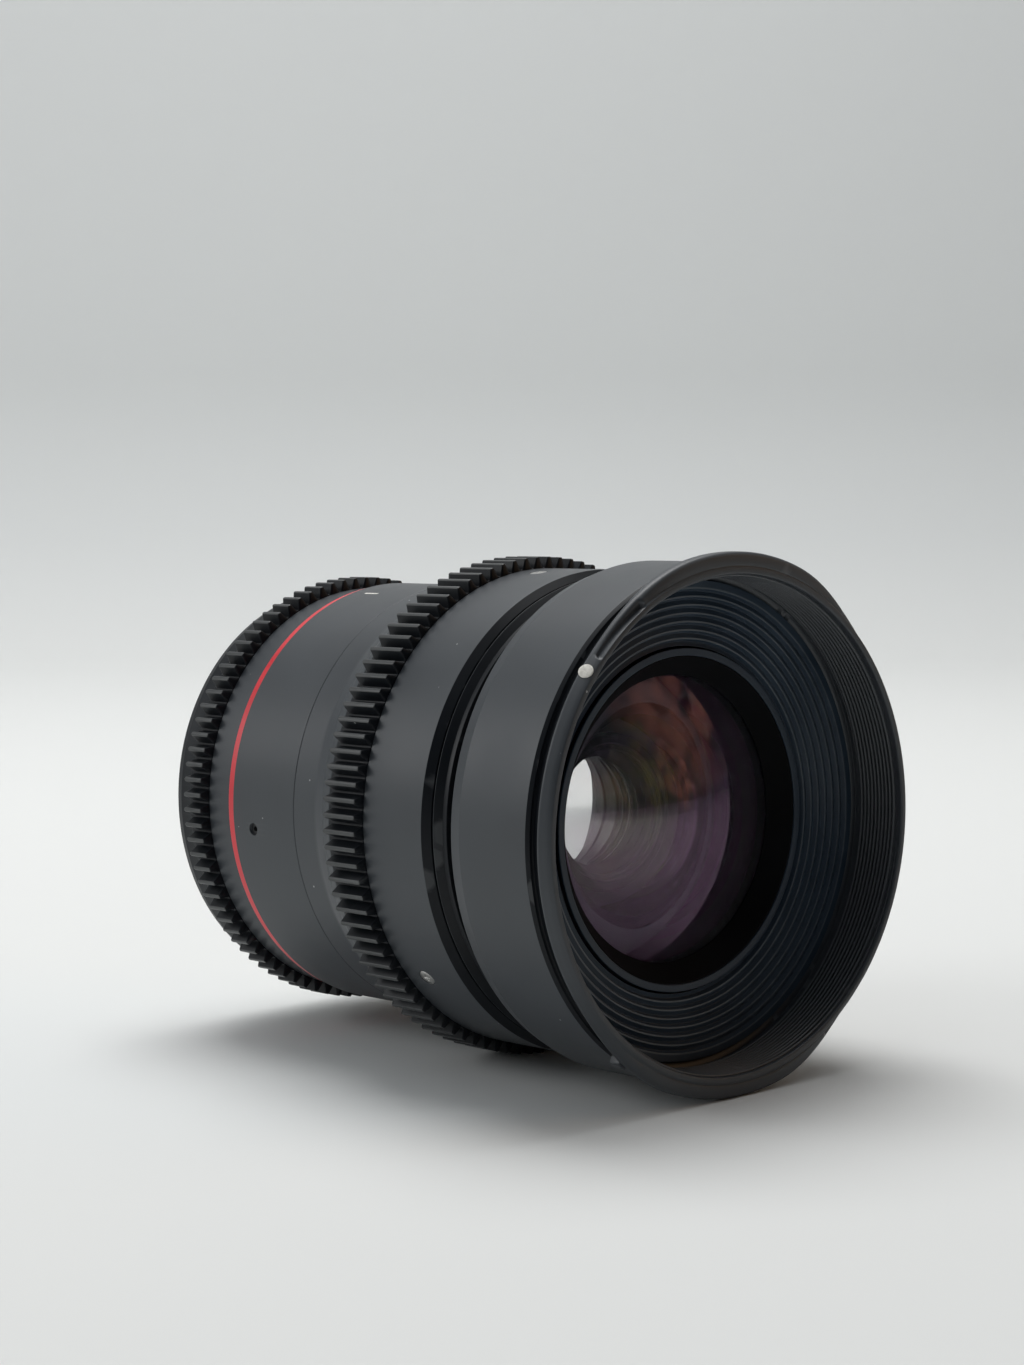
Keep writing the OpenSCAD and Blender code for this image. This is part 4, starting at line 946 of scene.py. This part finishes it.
# Ridged baffle: a shallow cone of seven ridges inside the rim, turned and blackened, with paler crests that
# are painted highlight.
# The ridges trap light that comes in from the side.
BAFFLE_DARK = (0.016, 0.027, 0.042, 1.0)
BAFFLE_LIGHT = (0.026, 0.040, 0.058, 1.0)
RIDGE_HIGHLIGHT_DARK = (0.045, 0.058, 0.072, 1.0)
RIDGE_HIGHLIGHT_LIGHT = (0.07, 0.085, 0.10, 1.0)
RIDGES = 7
BAFFLE_INNER = 27.2
BAFFLE_FALL = 2.5
RIDGE_DEPTH = 0.7
RIDGE_LAND = 0.25
baffle_r, baffle_rear, baffle_front = span("ridged_baffle")
baffle_outer = BAFFLE_R + 0.2
ridge_r = (baffle_outer - BAFFLE_INNER) / RIDGES
ridge_z = BAFFLE_FALL / RIDGES
corners = [(baffle_r, THREAD_REAR - BAFFLE_SEAT, 0), (baffle_r, baffle_front, 0.06)]
for k in range(RIDGES):
    top_r, top_z = baffle_outer - k * ridge_r, baffle_front - k * ridge_z
    corners += [(top_r, top_z, 0.04), (top_r - RIDGE_LAND, top_z, 0.06),
                (top_r - 0.45 * ridge_r, top_z - RIDGE_DEPTH, 0.1)]
corners += [(BAFFLE_INNER, baffle_front - BAFFLE_FALL, 0.08), (BAFFLE_INNER, baffle_rear, 0),
            (BAFFLE_R - 0.1, THREAD_REAR - BAFFLE_SEAT - 1.2, 0)]
light_trap = dull_black("light_trap", BAFFLE_DARK, BAFFLE_LIGHT, 0.42, 0.3)
ridged_baffle = turned("ridged_light_trap", corners)
dress(ridged_baffle, light_trap, "barrel", "baffle_black", "ridged_baffle")
ridge_tops = [(baffle_outer - k * ridge_r, baffle_front - k * ridge_z) for k in range(RIDGES)]
# The paler ridge crests are painted highlight.
second_finish(ridged_baffle, dull_black("ridge_painted_highlight", RIDGE_HIGHLIGHT_DARK, RIDGE_HIGHLIGHT_LIGHT, 0.4), lambda r, z: any(
    top_r - RIDGE_LAND - 0.02 < r < top_r + 0.02 and abs(z - top_z) < 0.05 for top_r, top_z in ridge_tops))


# Retaining ring and trim ring: the black ring that holds the front glass, and the flat ring round it.
# Both are thin turned aluminium, blackened.
retainer_r, retainer_rear, retainer_front = span("front_retainer")
RETAINER_BORE = 22.6
RETAINER_SEAT = 83.2
DEEP_BLACK = (0.0012, 0.0014, 0.0018, 1.0)
DEEP_GREY = (0.004, 0.0045, 0.0055, 1.0)
retainer = turned("glass_retainer", [
    (RETAINER_BORE, RETAINER_SEAT, 0.03), (RETAINER_BORE, RETAINER_SEAT + 0.25, 0.05),
    (retainer_r - 0.25, retainer_front, 0.1), (retainer_r, retainer_front, 0.05),
    (retainer_r, retainer_rear, 0),
    (CELL_MOUTH - 0.2, retainer_rear, 0), (front_rim - 0.2, RETAINER_SEAT, 0)])
deep_black = dull_black("deep_black", DEEP_BLACK, DEEP_GREY, 0.7, 0.08)
dress(retainer, deep_black, "optics", "baffle_black", "front_retainer")
trim_r, trim_rear, trim_front = span("trim_ring")
trim = turned("glass_trim", [
    (retainer_r + 0.02, trim_rear, 0), (retainer_r + 0.02, trim_front, 0.15), (trim_r, trim_front, 0.15),
    (trim_r, trim_rear, 0)])
dress(trim, light_trap, "optics", "baffle_black", "trim_ring")


# Studio: a pale seamless sweep, with soft light from the ceiling, the side and over the wall.
# The lens lies on its front lug and its focus gear, so the floor is tipped a little against its axis.
FLOOR_TONE = (0.74, 0.75, 0.74, 1.0)
WALL_SHADE_TONE = (0.70, 0.715, 0.71, 1.0)
ROOM_SEEN = (0.85, 0.88, 0.875, 1.0)
ROOM_PALE = (0.72, 0.76, 0.79, 1.0)
ROOM_DARK = (0.012, 0.018, 0.030, 1.0)
ROOM_DARK_WAY = (-0.15, -0.98, -0.1)
ROOM_STRENGTH = 0.6
BEAM_WAY = (0.70, -0.58, 0.42)
BEAM_BROWN = (0.10, 0.05, 0.03, 1.0)
BEAM_WARM = (1.8, 1.08, 0.52, 1.0)
LENS_MIDDLE = (0.0, -0.05, 0.0)
WALL_AIM = (-0.05, 1.25, 0.15)
CAMERA_SPOT = Vector((-325.9, -400.25, 34.4)) * MM
CAMERA_AHEAD = Vector((0.67702, 0.73535, -0.03025))
CAMERA_RIGHT = Vector((0.73597, -0.67644, 0.02782))
CAMERA_LENS = 76.48
CAMERA_DIP = math.radians(5.45)
SWEEP_BACK = 0.75
SWEEP_R = 0.12
SWEEP_TOP = 2.2
SWEEP_NEAR = -3.2
SWEEP_LEFT = -2.6
SWEEP_RIGHT = 1.2

camera_up = CAMERA_RIGHT.cross(CAMERA_AHEAD).normalized()
floor_up = camera_up * math.cos(CAMERA_DIP) - CAMERA_AHEAD * math.sin(CAMERA_DIP)
floor_side = CAMERA_RIGHT.normalized()
floor_away = floor_up.cross(floor_side).normalized()
rest_radial = Vector((floor_up.x, 0, floor_up.z)).normalized()
rest_spot = (Vector((0, -97.0, 0)) - rest_radial * lug_r) * MM
sweep_line = [(SWEEP_NEAR, 0.0), (0.2, 0.0), (SWEEP_BACK, 0.0)]
for k in range(1, 13):
    turn = math.radians(90 * k / 12)
    sweep_line.append((SWEEP_BACK + SWEEP_R * math.sin(turn), SWEEP_R * (1 - math.cos(turn))))
sweep_line.append((SWEEP_BACK + SWEEP_R, SWEEP_TOP))
mesh = bmesh.new()
edges = [[mesh.verts.new((x, away, height)) for x in (SWEEP_LEFT, SWEEP_RIGHT)]
         for away, height in sweep_line]
for near, far in zip(edges, edges[1:]):
    mesh.faces.new((near[0], near[1], far[1], far[0]))
floor = link_mesh("studio_sweep", mesh)
floor.matrix_world = Matrix((
    (floor_side.x, floor_away.x, floor_up.x, rest_spot.x),
    (floor_side.y, floor_away.y, floor_up.y, rest_spot.y),
    (floor_side.z, floor_away.z, floor_up.z, rest_spot.z),
    (0, 0, 0, 1)))
material, tree, shader = new_finish("studio_paper")
place = put(tree, "ShaderNodeTexCoord", {}).outputs["Object"]
height = put(tree, "ShaderNodeSeparateXYZ", {"Vector": place}).outputs["Z"]
# The wall is painted a little darker than the floor, as painted shade up the sweep.
tree.links.new(graded(tree, height, 0.0, 0.05, FLOOR_TONE, WALL_SHADE_TONE), shader.inputs["Base Color"])
shader.inputs["Roughness"].default_value = 0.8
shader.inputs["Specular IOR Level"].default_value = 0.2
floor.data.materials.append(material)

world = bpy.data.worlds.new("studio_room")
bpy.context.scene.world = world
world.use_nodes = True
tree = world.node_tree
room = put(tree, "ShaderNodeTexCoord", {}).outputs["Generated"]
ahead_of_lens = put(tree, "ShaderNodeVectorMath", {0: room, 1: ROOM_DARK_WAY}, operation="DOT_PRODUCT")
shade = graded(tree, ahead_of_lens.outputs["Value"], 0.05, 0.65, ROOM_PALE, ROOM_DARK)
at_beam = put(tree, "ShaderNodeVectorMath", {0: room, 1: BEAM_WAY}, operation="DOT_PRODUCT")
knots = put(tree, "ShaderNodeTexNoise", {"Vector": room, "Scale": 7.0, "Detail": 4.0}).outputs["Fac"]
beam_tone = graded(tree, knots, 0.4, 0.62, BEAM_BROWN, BEAM_WARM)
beam = graded(tree, at_beam.outputs["Value"], 0.90, 0.97, (0.0, 0.0, 0.0, 1.0), (1.0, 1.0, 1.0, 1.0))
roomy = put(tree, "ShaderNodeMix", {"Factor": beam, "A": shade, "B": beam_tone}, data_type="RGBA")
seen = put(tree, "ShaderNodeLightPath", {}).outputs["Is Camera Ray"]
behind = put(tree, "ShaderNodeMix", {"Factor": seen, "A": roomy.outputs["Result"], "B": ROOM_SEEN},
             data_type="RGBA")
sky = tree.nodes["Background"]
tree.links.new(behind.outputs["Result"], sky.inputs["Color"])
sky.inputs["Strength"].default_value = ROOM_STRENGTH


def softbox(name, spot, aim, width, depth, watts):
    """Area lamp that looks at a point."""
    lamp = bpy.data.lights.new(name, "AREA")
    lamp.shape = "RECTANGLE"
    lamp.size, lamp.size_y = width, depth
    lamp.energy = watts
    holder = bpy.data.objects.new(name, lamp)
    bpy.context.scene.collection.objects.link(holder)
    holder.location = spot
    holder.rotation_mode = "QUATERNION"
    holder.rotation_quaternion = (Vector(aim) - Vector(spot)).to_track_quat("-Z", "Y")


softbox("ceiling_light", (0.13, 0.15, 0.95), LENS_MIDDLE, 0.7, 0.6, 8.2)
softbox("side_light", (-0.8, 0.62, 0.42), LENS_MIDDLE, 0.5, 0.5, 2.6)
softbox("wall_light", (-0.25, 0.75, 1.0), WALL_AIM, 0.6, 0.5, 1.3)

camera = bpy.data.objects.new("camera", bpy.data.cameras.new("camera"))
bpy.context.scene.collection.objects.link(camera)
camera.matrix_world = Matrix((
    (CAMERA_RIGHT.x, camera_up.x, -CAMERA_AHEAD.x, CAMERA_SPOT.x),
    (CAMERA_RIGHT.y, camera_up.y, -CAMERA_AHEAD.y, CAMERA_SPOT.y),
    (CAMERA_RIGHT.z, camera_up.z, -CAMERA_AHEAD.z, CAMERA_SPOT.z),
    (0, 0, 0, 1)))
camera.data.sensor_width = 36.0
camera.data.lens = CAMERA_LENS
camera.data.clip_start = 0.01
camera.data.clip_end = 20.0
bpy.context.scene.camera = camera
bpy.context.scene.view_settings.view_transform = "Standard"
